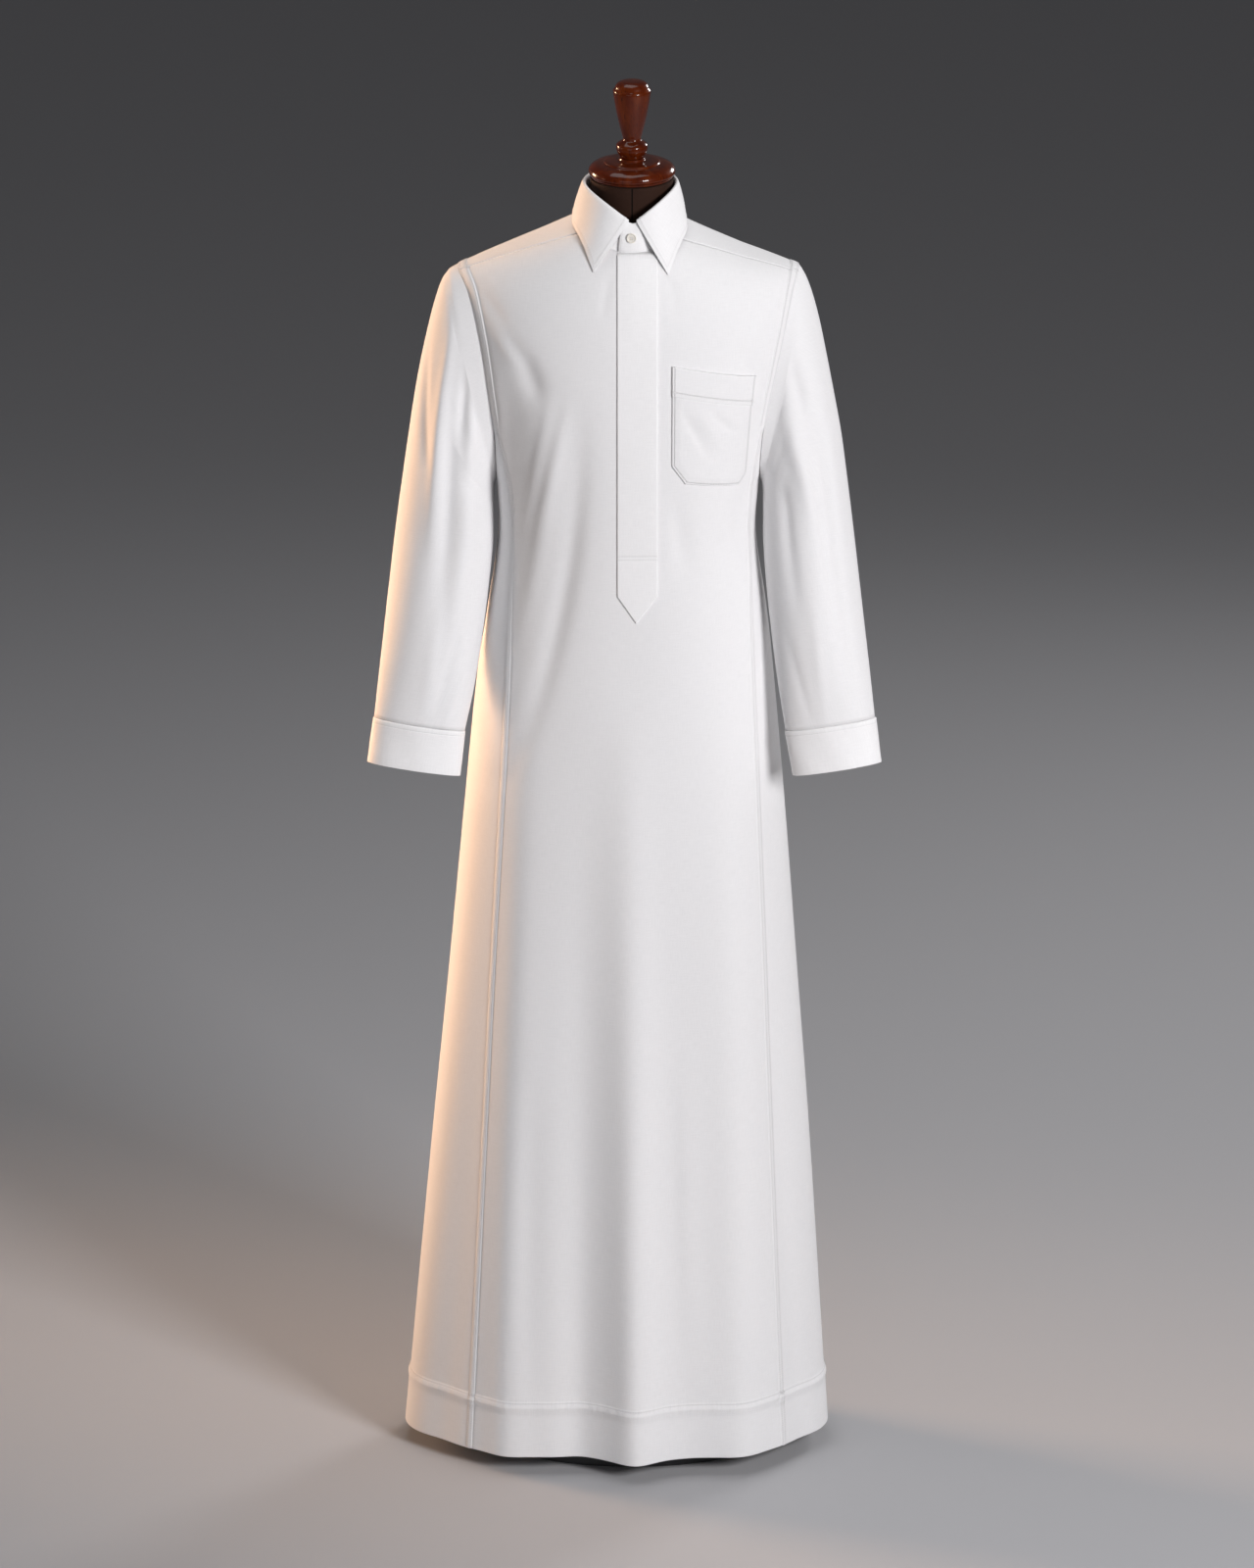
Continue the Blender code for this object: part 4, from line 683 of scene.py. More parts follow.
def panel(angle_at, top_at, above, columns, fan=False):
    """Points, normals and measures of a panel, with close columns at its edges."""
    dense = np.linspace(0, 1, 321)
    ends = top_at(dense)
    arm = (ARMPIT_ROWS - GORE_TOP)[:, None] * ((ends - GORE_TOP) / (JUNCTION - GORE_TOP) if fan else 1)
    levels = [SKIRT_ROWS[:, None] + 0 * dense, GORE_TOP + arm + 0 * dense]
    height = np.concatenate(levels + ([dome_rows(ends, above)] if above else []))
    rows = len(height)
    run = lengths(ring_point(angle_at(dense[None], height), height), axis=1)
    total = run[:, -1:]
    edge = EDGE_STEPS[None] * np.minimum(total / 0.06, 1)
    inner = edge[:, -1:] + (total - 2 * edge[:, -1:]) * np.linspace(0, 1, columns + 2)[None, 1:-1]
    wanted = np.concatenate((edge, inner, total - edge[:, ::-1]), axis=1)
    share = np.array([np.interp(wanted[i], run[i], dense) for i in range(rows)])
    share[:, 0], share[:, -1] = 0, 1
    height = np.array([np.interp(share[i], dense, height[i]) for i in range(rows)])
    points, normals = robe_point(angle_at(share, height), height)
    up = lengths(points)
    return {"points": points, "normals": normals, "left": wanted, "right": total - wanted, "up": up + HEM_Z,
            "down": up[-1:] - up, "across": wanted - total / 2}


def bump(off, width):
    """A rounded rise of 1 where off is 0, gone beyond about twice its width."""
    return np.exp(-((off / width) ** 2))


def step_down(off, width, soft=0.0010):
    """1 on an allowance of that width from an edge, and 0 beyond it."""
    t = np.clip((off - width) / soft + 0.5, 0, 1)
    return 1 - t * t * (3 - 2 * t)


def lapped(off, width, turn=0.0009):
    """Height of a lap, 0 to 1: rounded where the cloth turns under, then level."""
    return np.sqrt(1 - (1 - np.clip(off / turn, 0, 1)) ** 2) * step_down(off, width)


def cloth(name, points, measures, material, lines, pucker, wall=0.0008, inward=0.0,
          stands_for=None):
    """A cut piece as a thin shell.  Lines are its rows of stitches: the way to the row, and the run along it."""
    (along, up), (rows, columns) = measures, points.shape[:2]
    row, column = quads(rows, columns, closed=along.shape[1] > columns)
    piece = skin("robe_" + name, points, row * columns + column % columns, material)
    cut = np.stack((along[row, column], up[row, column % columns]), axis=2)
    piece.data.uv_layers.new(name="cut").data.foreach_set("uv", cut.astype(np.float32).ravel())
    off, run = (np.array(values) for values in zip(*lines))
    nearest = np.abs(off).argmin(axis=0)[None]
    for key, value in (("stitch_off", np.abs(np.take_along_axis(off, nearest, 0)[0])),
                       ("stitch_run", np.take_along_axis(run, nearest, 0)[0]),
                       ("pucker", np.broadcast_to(pucker, (rows, columns)))):
        layer = piece.data.attributes.new(key, "FLOAT", "POINT")
        layer.data.foreach_set("value", value.astype(np.float32).ravel())
    thick = piece.modifiers.new("wall", "SOLIDIFY")
    thick.thickness, thick.offset = wall, inward
    thick.use_even_offset = False
    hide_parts(stands_for or name)


robe = {"front": panel(lambda share, height: across(share, height, False), front_top, 46, 74),
        "back": panel(lambda share, height: across(share, height, True), back_top, 22, 66)}
for name, right in (("gore_L", False), ("gore_R", True)):
    robe[name] = panel(lambda share, height: gore_angle(share, height, right),
                       lambda share: gore_top(share, right), 0, 20, fan=True)

for name, cut, area, rests_on in (("front", (0.48, 1.56), 0.560, ["form_bust", "yoke"]),
                                  ("back", (0.45, 1.46), 0.510, ["form_bust", "yoke"]),
                                  ("gore_L", (0.24, 1.29), 0.200, ["front", "back"]),
                                  ("gore_R", (0.18, 1.29), 0.160, ["front", "back"])):
    part = robe[name]
    points, up = part["points"], part["up"]
    z = points[..., 2]
    # The turned-up hem is thicker, with a rounded edge under its stitches.
    rise = 0.0008 * step_down(z, HEM_TOP + 0.0010, 0.0014) + 0.0015 * bump(z - HEM_TOP + 0.0062, 0.0042)
    lines = [(z - HEM_TOP, part["across"])]
    if name in ("front", "back"):
        below = np.broadcast_to((np.arange(len(points)) < len(SKIRT_ROWS) + len(ARMPIT_ROWS))[:, None], z.shape)
        width, thick = np.where(below, LAP, ARM_LAP), np.where(below, 0.0007, 0.0010)
        for side in (part["left"], part["right"]):
            rise = rise + thick * lapped(side, width) - 0.0005 * bump(side - width - 0.0014, 0.0014)
            lines += [(np.where(below, side - place, 1.0), up) for place in SEAM_ROWS]
            lines += [(np.where(below, 1.0, side - place), up) for place in ARM_ROWS]
    else:
        lines += [(part["down"] - 0.0015, part["across"])]
    # Puckers are strongest at the hem's stitches and just under the armholes.
    pucker = 0.45 + 0.75 * bump(z - 1.20, 0.12) + 1.5 * step_down(np.abs(z - HEM_TOP + 0.007), 0.008, 0.006)
    cloth(name, points + part["normals"] * rise[..., None], (part["across"], up), POPLIN,
          lines, pucker, stands_for=name.replace("gore", "side_gore"))

# -------------------- robe: yoke
# One yoke of double poplin over both shoulders, felled to the front and the
# back and topstitched along both seams.
YOKE_STEPS = np.array((0, 0.6, 1.4, 2.6, 4.5, 7, 9.2, 10, 10.8, 12)) / 1000
YOKE_LAP, YOKE_ROW = 0.0046, 0.0032
ARM_POINTS = 25                      # columns of the yoke along each armhole


def ridge_turn(x, y):
    """How far the point (x, y) of the shoulders leans from the ridge, as an angle."""
    x, y = np.broadcast_arrays(x, y)

    def past(height):
        width, depth, power = half_ring(height, x > 0, y > 0)
        return depth * np.maximum(1 - (np.abs(x) / width) ** power, 0) ** (1 / power) < np.abs(y)
    step, last = 0.004, 1.4999
    heights = last - np.arange(0, 0.2, step)
    low = heights[np.array([past(height) for height in heights]).argmin(axis=0)]
    height = find_change(past, low, np.minimum(low + step, last), x.shape)
    turn = np.arccos(np.minimum(dome_share(height) ** (DOME_POWER / 2), 1))
    reach = np.abs(ridge_point(x, turn)[..., 1])
    return np.copysign(turn * np.minimum(np.abs(y) / np.maximum(reach, 1e-6), 1) ** (DOME_POWER / 2), y)


def ridge_height(turn):
    """Height of the ring that a point leaning by an angle from the ridge lies on."""
    return DOME_FOOT + DOME_RISE * np.cos(turn) ** (2 / DOME_POWER)


def ridge_point(x, turn):
    """The point of the shoulders at x, leaning from the ridge by an angle."""
    x, turn = np.broadcast_arrays(x, turn)
    height = ridge_height(turn)
    width, _, power = half_ring(height, x > 0, turn > 0)
    fore, rear = read_table(ROBE_RINGS, height)[2:4]
    depth = np.where(turn > 0, rear, fore) * np.abs(np.sin(turn)) ** (2 / DOME_POWER)
    y = np.copysign(depth * np.maximum(1 - (np.abs(x) / width) ** power, 0) ** (1 / power), turn)
    return spots(x, y, lift(x, y, height))


def on_shoulders(x, y):
    return ridge_point(x, ridge_turn(x, y))


def arm_edge(tip, blade, share):
    """The armhole between the yoke's front and back seams."""
    turn = ridge_turn(tip[0], tip[1]) * (1 - share) + ridge_turn(blade[0], blade[1]) * share
    height = ridge_height(turn)
    fore, rear = (ring_point(seam_angle(height, tip[0] > 0, back), height) for back in (False, True))
    return np.where((turn > 0)[:, None], rear, fore)


def respace(points, wanted):
    """The rows of a grid moved to wanted distances from its first row."""
    run = lengths(points)
    moved = [[np.interp(wanted[:, j], run[:, j], points[:, j, k]) for k in range(3)] for j in range(run.shape[1])]
    return np.transpose(np.array(moved), (2, 0, 1))


def grid_normals(points, closed=False):
    """Outward normals of a grid whose rows go up and columns anticlockwise."""
    if closed:
        along = np.roll(points, -1, axis=1) - np.roll(points, 1, axis=1)
    else:
        along = np.gradient(points, axis=1)
    return unit(np.cross(along, np.gradient(points, axis=0)))


def measured(points, closed=False):
    """Running lengths of a grid up and along, along from its middle, and the way to its nearer end."""
    along = lengths(np.concatenate((points, points[:, :1]), axis=1) if closed else points, axis=1)
    return lengths(points), along, along - along[:, -1:] / 2, np.minimum(along, along[:, -1:] - along)


def yoke_grid():
    """Points of the yoke, from its outer edge in to the neckline."""
    front_row, back_row = robe["front"]["points"][-1], robe["back"]["points"][-1]
    back_row = back_row[np.argsort(back_row[:, 0])]
    ends, middle = np.linspace(0, 1, ARM_POINTS), np.linspace(back_row[0, 0], back_row[-1, 0], 93)
    seam = np.stack([np.interp(middle, back_row[:, 0], back_row[:, k]) for k in range(3)], axis=1)
    outer = np.concatenate((arm_edge(front_row[0], back_row[0], ends[:-1]), seam,
                            arm_edge(front_row[-1], back_row[-1], ends[::-1][1:])))
    count = len(outer)
    start = math.asin((yoke_front_y(0.056) + NECK_Y) / NECK_HALF_Y)
    around = math.pi + start - (math.pi + 2 * start) * np.arange(count) / (count - 1)
    neck_x, neck_y = NECK_X + NECK_HALF_X * np.cos(around), NECK_Y + NECK_HALF_Y * np.sin(around)
    share = np.linspace(0, 1, 60)[:, None]
    x = outer[:, 0] + (neck_x - outer[:, 0]) * share
    outer_turn = ridge_turn(outer[:, 0], outer[:, 1])
    turn = outer_turn + (ridge_turn(neck_x, neck_y) - outer_turn) * share
    for end, order in ((0, np.arange(count)), (-1, np.arange(count)[::-1])):
        seam_turn = ridge_turn(x[:, end], -yoke_front_y(x[:, end]))
        turn = turn + (seam_turn - turn[:, end])[:, None] * np.clip(1 - order / 6, 0, 1)
    grid = ridge_point(x, turn)
    grid[0] = outer
    steps = YOKE_STEPS[:, None] * np.ones(count)
    rest = (lengths(grid)[-1] - steps[-1:]) * np.linspace(0, 1, 30)[1:, None]
    return respace(grid, np.concatenate((steps, steps[-1:] + rest)))


yoke = yoke_grid()
up, along, centred, ends = measured(yoke)
columns = np.arange(yoke.shape[1])
at_arm = np.minimum(columns, columns[::-1]) < ARM_POINTS - 1
rise = np.maximum(0.0010 * lapped(up, ARM_LAP) * at_arm, 0.0008 * lapped(up, YOKE_LAP) * ~at_arm)
rise = np.maximum(rise, 0.0008 * lapped(ends, YOKE_LAP))
lines = [(np.where(at_arm, up - place, 1.0), along) for place in ARM_ROWS]
lines += [(np.where(at_arm, 1.0, up - YOKE_ROW), along), (ends - YOKE_ROW, up)]
cloth("yoke", (yoke - grid_normals(yoke) * rise[..., None])[:, ::-1], (centred[:, ::-1], up[:, ::-1]), POPLIN,
      [(line[:, ::-1], place[:, ::-1]) for line, place in lines],
      pucker=0.45 * np.clip(np.hypot(ends, up)[:, ::-1] / 0.025 - 0.4, 0, 1))

# -------------------- robe: sleeves
# Two straight one-piece sleeves, set in flat with the armhole allowance
# topstitched onto the body, and seamed from the armpit to the cuff.
# Rings from the head to the cuff: heights of the outer and inner edge, their
# distances from x = 0 at -X and at +X, depth place, half depth, pitch in degrees.
SLEEVE_RINGS = metres((
    (1480.5, 1218.5, 215, 162.5, 200.3, 153.5, -1, 62.2, 0), (1468, 1214, 223.5, 163, 206.6, 154, -2, 62.5, 0),
    (1447, 1211, 231, 163.3, 213.8, 154.3, -3, 62.8, 0), (1417, 1208, 238.8, 163.5, 221.5, 154.6, -4, 63, 1),
    (1380, 1205, 247.2, 163.6, 229, 154.8, -6, 63, 2), (1335, 1202, 255.6, 163.7, 237.6, 155, -8, 62.8, 4),
    (1285, 1198, 263.2, 163.8, 246.7, 155.2, -11, 62.2, 6),
    (1235, 1188, 270.4, 163.8, 253.5, 155.4, -15, 61.2, 8), (1175, 1148, 278.7, 164.5, 261, 156, -22, 59, 10),
    (1115, 1095, 286, 170.5, 268.2, 160, -34, 55.5, 11), (1060, 1043, 292.5, 177.5, 274.8, 166, -48, 50, 12),
    (1005, 988, 299, 186.5, 281.5, 173.5, -66, 40, 12),
    (951.7, 934.5, 305.2, 198.5, 287.7, 182.6, -85, 28.5, 12),
), 1)
# Drapes: angle round the sleeve (0 outside, 90 front) at the start and the end,
# the rings they run between, width in degrees, rise in millimetres.
SLEEVE_FOLDS = {
    "L": (
        (54, 78, 0.6, 8.6, 10, 6.6), (84, 94, 0.2, 4.6, 8, -4.4), (103, 112, 0.4, 5.8, 8, 3.6),
        (82, 100, 3, 11, 12, -5), (120, 112, 5, 10, 12, 3.5), (300, 280, 3, 10, 16, -5),
        (20, 60, 3, 6.6, 9, -3.4), (96, 92, 8.5, 12, 9, 1.8), (125, 105, 9.6, 11.9, 7, -1.6),
        (140, 118, 10.4, 12.3, 6, 1.3), (245, 262, 5, 9, 10, 2.2),
    ),
    "R": (
        (100, 85, 0.6, 8, 11, 5.6), (76, 70, 0.3, 4.6, 8, -3.2), (70, 60, 4, 11.5, 12, -5),
        (300, 285, 3, 10, 16, -5), (122, 112, 5, 9.8, 9, -3.4), (44, 40, 2.5, 8.5, 11, 1.8),
        (92, 96, 9, 12.2, 8, 1.4), (135, 112, 9.8, 12.1, 7, -1.4), (240, 258, 5.5, 9.5, 10, 2),
    ),
}
ARM_COLUMNS = 128


def armhole(letter):
    """The armhole's points, from the top over the front to the bottom and up the back."""
    right = letter == "R"
    low = len(SKIRT_ROWS) + len(ARMPIT_ROWS) - 1
    front_edge = robe["front"]["points"][low:, -1 if right else 0][::-1]
    back_edge = robe["back"]["points"][low:, 0 if right else -1]
    under = robe["gore_" + letter]["points"][-1, ::1 if right else -1]
    over = yoke[0, ::-1 if right else 1][:ARM_POINTS]
    loop = np.concatenate((front_edge[:-1], under, back_edge[1:], over[::-1][1:]))
    run = lengths(loop[:, None])[:, 0]
    places = np.linspace(0, run[-1], ARM_COLUMNS, endpoint=False)
    return np.stack([np.interp(places, run, loop[:, k]) for k in range(3)], axis=1)


def sleeve_rings(rows, place, side, turns):
    """Rings of a sleeve at places along its table, at the given angles."""
    table = read_table([(k, *row) for k, row in enumerate(rows)], place)
    outer_z, inner_z, middle_y, half_depth, pitch = table[[0, 1, 6, 7, 8]]
    outer_x, inner_x = table[[2, 3]] * -1 if side < 0 else table[[4, 5]]
    lean = np.radians(pitch)
    outer, inner = spots(outer_x, middle_y, outer_z)[:, None], spots(inner_x, middle_y, inner_z)[:, None]
    forward = spots(0, -np.cos(lean), np.sin(lean))[:, None] * half_depth[:, None, None]
    turns = turns[None, :, None]
    return (outer + inner) / 2 + (outer - inner) / 2 * np.cos(turns) + forward * np.sin(turns)


def sleeve_folds(rings, place, turns, folds):
    """Push the drapes into the rings."""
    out = unit(rings - rings.mean(axis=1, keepdims=True))
    for first, last, start, end, width, rise in folds:
        t = np.clip((place - start) / (end - start), 0, 1)[:, None]
        off = (turns[None] - np.radians(first + (last - first) * t) + math.pi) % math.tau - math.pi
        strength = bump(off, math.radians(width)) * np.sin(math.pi * t)
        rings = rings + out * (rise / 1000 * strength)[..., None]
    return rings


for letter, side in (("L", -1), ("R", 1)):
    loop = armhole(letter)
    top, bottom = loop[:, 2].max(), loop[:, 2].min()
    turns = np.arccos(np.clip((2 * loop[:, 2] - top - bottom) / (top - bottom), -1, 1))
    turns = np.where(loop[:, 1] < 0, turns, math.tau - turns)
    place = np.linspace(0, 12, 118)
    rings = sleeve_folds(sleeve_rings(SLEEVE_RINGS, place, side, turns), place, turns, SLEEVE_FOLDS[letter])
    # The head bends from the armhole's own slope into the first ring.
    slope = unit(spots(side * 0.5, loop[:, 1] * 6, (loop[:, 2] - 1.33) * 3))
    inward = loop - loop.mean(axis=0)
    inward = unit(inward - slope * (inward * slope).sum(axis=1, keepdims=True))
    outward = unit(rings[0] - loop)
    turn = np.arccos(np.clip(-(outward * inward).sum(axis=1), -1, 1))
    edge = loop + unit(outward - inward) * (0.0008 * np.sin(turn / 2) + 0.0003)[:, None]
    share = np.array((0, 0.06, 0.16, 0.32, 0.52, 0.76))[:, None, None]
    points = np.concatenate((edge * (1 - share) + rings[0] * share, rings))[::-1]
    points, turns = (points[:, ::-1], turns[::-1]) if side > 0 else (points, turns)
    up, along, centred, _ = measured(points, closed=True)
    seam = np.abs(turns - math.radians(186)).argmin()
    off_seam = np.abs(along[:, :-1] - along[:, seam:seam + 1])
    cloth("sleeve_" + letter, points, (centred, up), POPLIN,
          [(np.abs(off_seam - 0.0035) - 0.0022, up)],
          pucker=0.35)

# -------------------- robe: cuffs
# Plain straight cuffs, 5 cm deep, interlined, seamed on and topstitched above
# the seam and round the opening.  Their rings have the sleeves' columns.
CUFF_RINGS = metres((
    (951.3, 934.1, 306.2, 197.8, 288.7, 181.9, -85.3, 29, 12),
    (925, 908, 309.5, 201, 292, 186.5, -91, 26.5, 12),
    (899.8, 882.6, 312.8, 204.6, 295.2, 191.2, -96.5, 25, 12),
), 1)
CUFF_PLACES = np.concatenate(((0, 0.008, 0.018, 0.03, 0.045, 0.1, 0.15), np.linspace(0.2, 1.85, 16),
                              (1.92, 1.97, 1.985, 2)))
for letter, side in (("L", -1), ("R", 1)):
    turns = np.linspace(0, math.tau, ARM_COLUMNS, endpoint=False)
    points = sleeve_rings(CUFF_RINGS, CUFF_PLACES, side, turns)[::-1]
    points = points[:, ::-1] if side > 0 else points
    up, along, centred, _ = measured(points, closed=True)
    run = along[:, :-1]
    soft = 0.0006 * np.sin(run * 95 + side) * np.sin(run * 41 + up * 30)
    turned_in = 0.0008 * np.clip(1 - (up[-1:] - up) / 0.0011, 0, 1) ** 2
    points = points + grid_normals(points, closed=True) * (soft - turned_in)[..., None]
    cloth("cuff_" + letter, points, (centred, up), CRISP,
          [(up[-1:] - up - 0.0050, run), (up - 0.0055, run)], pucker=0.45, wall=0.0013)

# -------------------- robe: collar band
# A stiff band, interlined, sewn to the neckline.  Its ends lap under the point
# where the leaf opens, and button there.
COLLAR_X, COLLAR_FRONT_X = -0.0018, 0.0008


def level_out(turn):
    """The level direction out of the collar at an angle from the front."""
    return spots(np.sin(turn), -np.cos(turn), 0)


def fold_point(turn):
    """Point of the collar's fold line at an angle from the front."""
    side, ahead = np.abs(np.sin(turn)), np.maximum(np.cos(turn), 0)
    x = COLLAR_X + (COLLAR_FRONT_X - COLLAR_X) * ahead**2 + 0.0530 * np.sin(turn)
    y = -0.00625 - 0.06075 * np.cos(turn)
    return spots(x, y, np.where(ahead > 0, 1.5900 - 0.0325 * (1 - side) ** 1.25, 1.5930 - 0.0030 * side**2))


def band_point(turn, share):
    """Point of the band between the neckline and the fold line."""
    degrees = np.abs(np.degrees(np.arctan2(np.sin(turn), np.cos(turn))))
    low = on_shoulders(NECK_X + NECK_HALF_X * np.sin(turn), NECK_Y - NECK_HALF_Y * np.cos(turn))
    high = fold_point(turn)
    low[..., 2] -= 0.0005
    high[..., 2] -= 0.0008 + 0.0022 * np.minimum(degrees / 5.0, 1)
    first = np.radians(310 + 33 * (1 - share) ** 4)
    inset = 0.0021 * np.clip((turn - first) / (math.radians(347) - first), 0, 1)
    swell = 0.0020 * np.sin(math.pi * share) - inset
    return low + (high - low) * share[..., None] + level_out(turn) * swell[..., None]


turn, share = np.meshgrid(np.radians(np.linspace(-13, 372, 190)),
                          np.array((0, 0.02, 0.06, 0.12, 0.2, 0.3, 0.4, 0.5, 0.6, 0.7, 0.8, 0.88, 0.94, 0.98, 1)))
points = band_point(turn, share)
up, along, centred, ends = measured(points)
cloth("collar_band", points, (centred, up), CRISP,
      [(up - 0.0020, along), (ends - 0.0025, up)], pucker=0.15, wall=0.0016,
      stands_for="collar_stand")

# -------------------- robe: collar leaf
# The turned-down leaf, interlined and pressed, with pointed ends that meet at
# the front.  It rolls over the top of the band and is stitched along its edge.
# Rows from the front to the nape: share of the half length, angles of the fold
# and of the edge from the front, radius of the edge, its clearance.
LEAF_ROWS = (
    (0, 5, 27.2, 0.0958, 0.0024), (0.08, 14, 32.8, 0.0912, 0.0038), (0.17, 27, 40.4, 0.085, 0.0042),
    (0.28, 44, 54, 0.077, 0.0036), (0.42, 68, 74, 0.07, 0.0028), (0.55, 90, 92, 0.067, 0.0024),
    (0.75, 130, 131, 0.0715, 0.005), (1, 180, 180, 0.07, 0.008),
)
LEAF_STITCH = 0.0050


def leaf_columns(along):
    """The leaf from the band over its roll to its edge, at places along it."""
    fold_turn, edge_turn, radius, clearance = read_table(LEAF_ROWS, 1 - np.abs(along))
    sign = np.where(along < 0, -1, 1)
    fold_turn, edge_turn = np.radians(fold_turn) * sign, np.radians(edge_turn) * sign
    fold, out, up = fold_point(fold_turn), level_out(fold_turn), np.array((0, 0, 1.0))
    x = 2 * COLLAR_X + (COLLAR_FRONT_X - COLLAR_X) * np.cos(edge_turn / 2) ** 4 + radius * np.sin(edge_turn)
    edge = on_shoulders(x, -radius * np.cos(edge_turn))
    edge[..., 2] += clearance + 0.0015
    rows = [fold + out * ahead + up * above for ahead, above in
            ((0, -0.0045), (0, -0.0012), (0.0009, 0.0006), (0.0026, 0.0004))]
    roll = fold + out * 0.0036 - up * 0.0014
    rows += [roll + (edge - roll) * fall + out * 0.0012 * math.sin(math.pi * fall)
             for fall in np.linspace(0.05, 1, 26)]
    return np.array(rows)


side = np.concatenate((np.linspace(0, 0.5, 60), np.linspace(0.5, 0.93, 46)[1:], np.linspace(0.93, 0.994, 22)[1:],
                       (0.9965, 0.998, 0.999, 1.0)))
points = leaf_columns(np.concatenate((-side[::-1], side[1:])))
length = lengths(points)
total, rest = length[-1], length[-1] - length[4]
wanted = [length[0], length[1] * 0.5]
wanted += [length[1] + (length[4] - length[1]) * share for share in np.linspace(0, 1, 6)]
wanted += [length[4] + (rest - 0.0075) * share for share in np.linspace(0, 1, 17)[1:]]
wanted += [total - off for off in (0.0062, 0.0050, 0.0040, 0.0026, 0.0014, 0.0007, 0.0003, 0)]
points = respace(points, np.array(wanted))[::-1]
up, along, centred, ends = measured(points)
groove = 0.0004 * bump(np.minimum(up, ends) - LEAF_STITCH, 0.0012)
cloth("collar_leaf", points - grid_normals(points) * groove[..., None], (centred, up), CRISP,
      [(np.where(ends > LEAF_STITCH, up - LEAF_STITCH, 1.0), along),
       (np.where(up > LEAF_STITCH, ends - LEAF_STITCH, 1.0), up)], pucker=0.12, wall=0.0015)

# -------------------- robe: placket
# The strip over the buttons, cut with a point at its foot, interlined, fastened
# from inside and stitched twice across where the opening ends.
PLACKET_LEFT, PLACKET_RIGHT = -0.0175, 0.0300
PLACKET_CORNER, PLACKET_TIP, PLACKET_TIP_X = 1.1135, 1.0800, 0.0049
PLACKET_STITCHES = (1.1590, 1.1635)
RIM = (0, 0.0002, 0.0005, 0.0008, 0.0011, 0.0022, 0.0030, 0.0038, 0.0050)


def on_front(x, z, rise):
    """Points of the front over x, at the height z, moved out by a rise."""
    x, z = np.broadcast_arrays(x, z)
    dome = DOME_FOOT + DOME_RISE * (z - DOME_FOOT) / (shoulder_z(x) - DOME_FOOT)
    height = np.where(z > DOME_FOOT, dome, z)
    points, normals = robe_point(face_angle(x, height, False), height)
    return points + normals * rise[..., None]


def lid(off, height, border=0.0011):
    """Height of a sheet that rises from its border to its own thickness."""
    t = np.clip(off / border, 0, 1)
    return 0.0003 + (height - 0.0003) * np.sqrt(1 - (1 - t) ** 2)


def close_edges(total, middle):
    """Shares of a width, close together at both ends."""
    steps = np.array(RIM)
    inner = np.linspace(steps[-1], total - steps[-1], middle + 2)[1:-1]
    return np.concatenate((steps, inner, total - steps[::-1]))[None] / total


neck_z = float(on_shoulders(np.array(0.006), np.array(-0.0735))[2])
heights = np.array((0, 0.0006, 0.0016)) + PLACKET_TIP
for high, count in ((PLACKET_CORNER, 22), (1.150, 16), (1.172, 22), (neck_z, 84)):
    heights = np.append(heights, np.linspace(heights[-1], high, count)[1:])
taper = np.clip((heights - PLACKET_TIP) / (PLACKET_CORNER - PLACKET_TIP), 0.004, 1)[:, None]
left, right = (PLACKET_TIP_X + (edge - PLACKET_TIP_X) * taper for edge in (PLACKET_LEFT, PLACKET_RIGHT))
over = close_edges(PLACKET_RIGHT - PLACKET_LEFT, 22)
x, z = np.broadcast_arrays(left + (right - left) * over, heights[:, None])
off = np.minimum(x - left, right - x) * np.where(taper < 1, 0.82, 1)
seat = 0.000315 * bump(z - np.mean(PLACKET_STITCHES) + 0.00025, 0.0060)
wave = 0.0003 * np.sin(z * 52 + 1) * np.sin(z * 23) * np.sin(math.pi * over)
tuck = 0.0022 * (1 - np.clip((neck_z - z) / 0.0045, 0, 1)) ** 1.6
points = on_front(x, z, np.maximum(lid(off, 0.0026) + wave - seat - tuck, 0.0002))
cloth("placket", points, (x, z), CRISP,
      [(z - row, x) for row in PLACKET_STITCHES], pucker=0.10, wall=0.0006, inward=-1.0)

# -------------------- robe: chest pocket
# A patch pocket with cut corners at its foot, edge stitched, and a band of
# double cloth across its mouth, stitched along its lower edge.
# Edges from the foot up: x and z on the left, x and z on the right.
POCKET_EDGES = metres((
    (62.1, 1252, 125.5, 1240), (46.3, 1275.1, 134.4, 1252.5), (46.5, 1318, 137.8, 1296),
    (46.8, 1361.5, 141.2, 1340.5),
))
POCKET_BAND_EDGES = metres((
    (46.6, 1360, 141.3, 1339), (46.6, 1379, 144, 1358), (46.7, 1396.5, 146.6, 1375.5),
))
POCKET_CREASES = metres((
    (58, 1343, 75.2, 1311, 92.4, 1279, 5.5, 7.5, -1.3, 0.2, 0),
    (92.4, 1340, 106.7, 1322.6, 124, 1308, 5, 6, -1, 0.1, 0), (74, 1345, 91, 1318, 107, 1290, 6, 6, 0.8, 0, 0),
), 2)


def patch(edges, places):
    """A grid on the front between the two edges of each row, and its flat lengths."""
    rows = np.array([np.interp(places, np.arange(len(edges)), column) for column in zip(*edges)])[..., None]
    over = close_edges(0.092, 52)
    x, z = rows[0] + (rows[2] - rows[0]) * over, rows[1] + (rows[3] - rows[1]) * over
    up, along, _, ends = measured(spots(x, 0, z))
    return x, z, up, along, ends


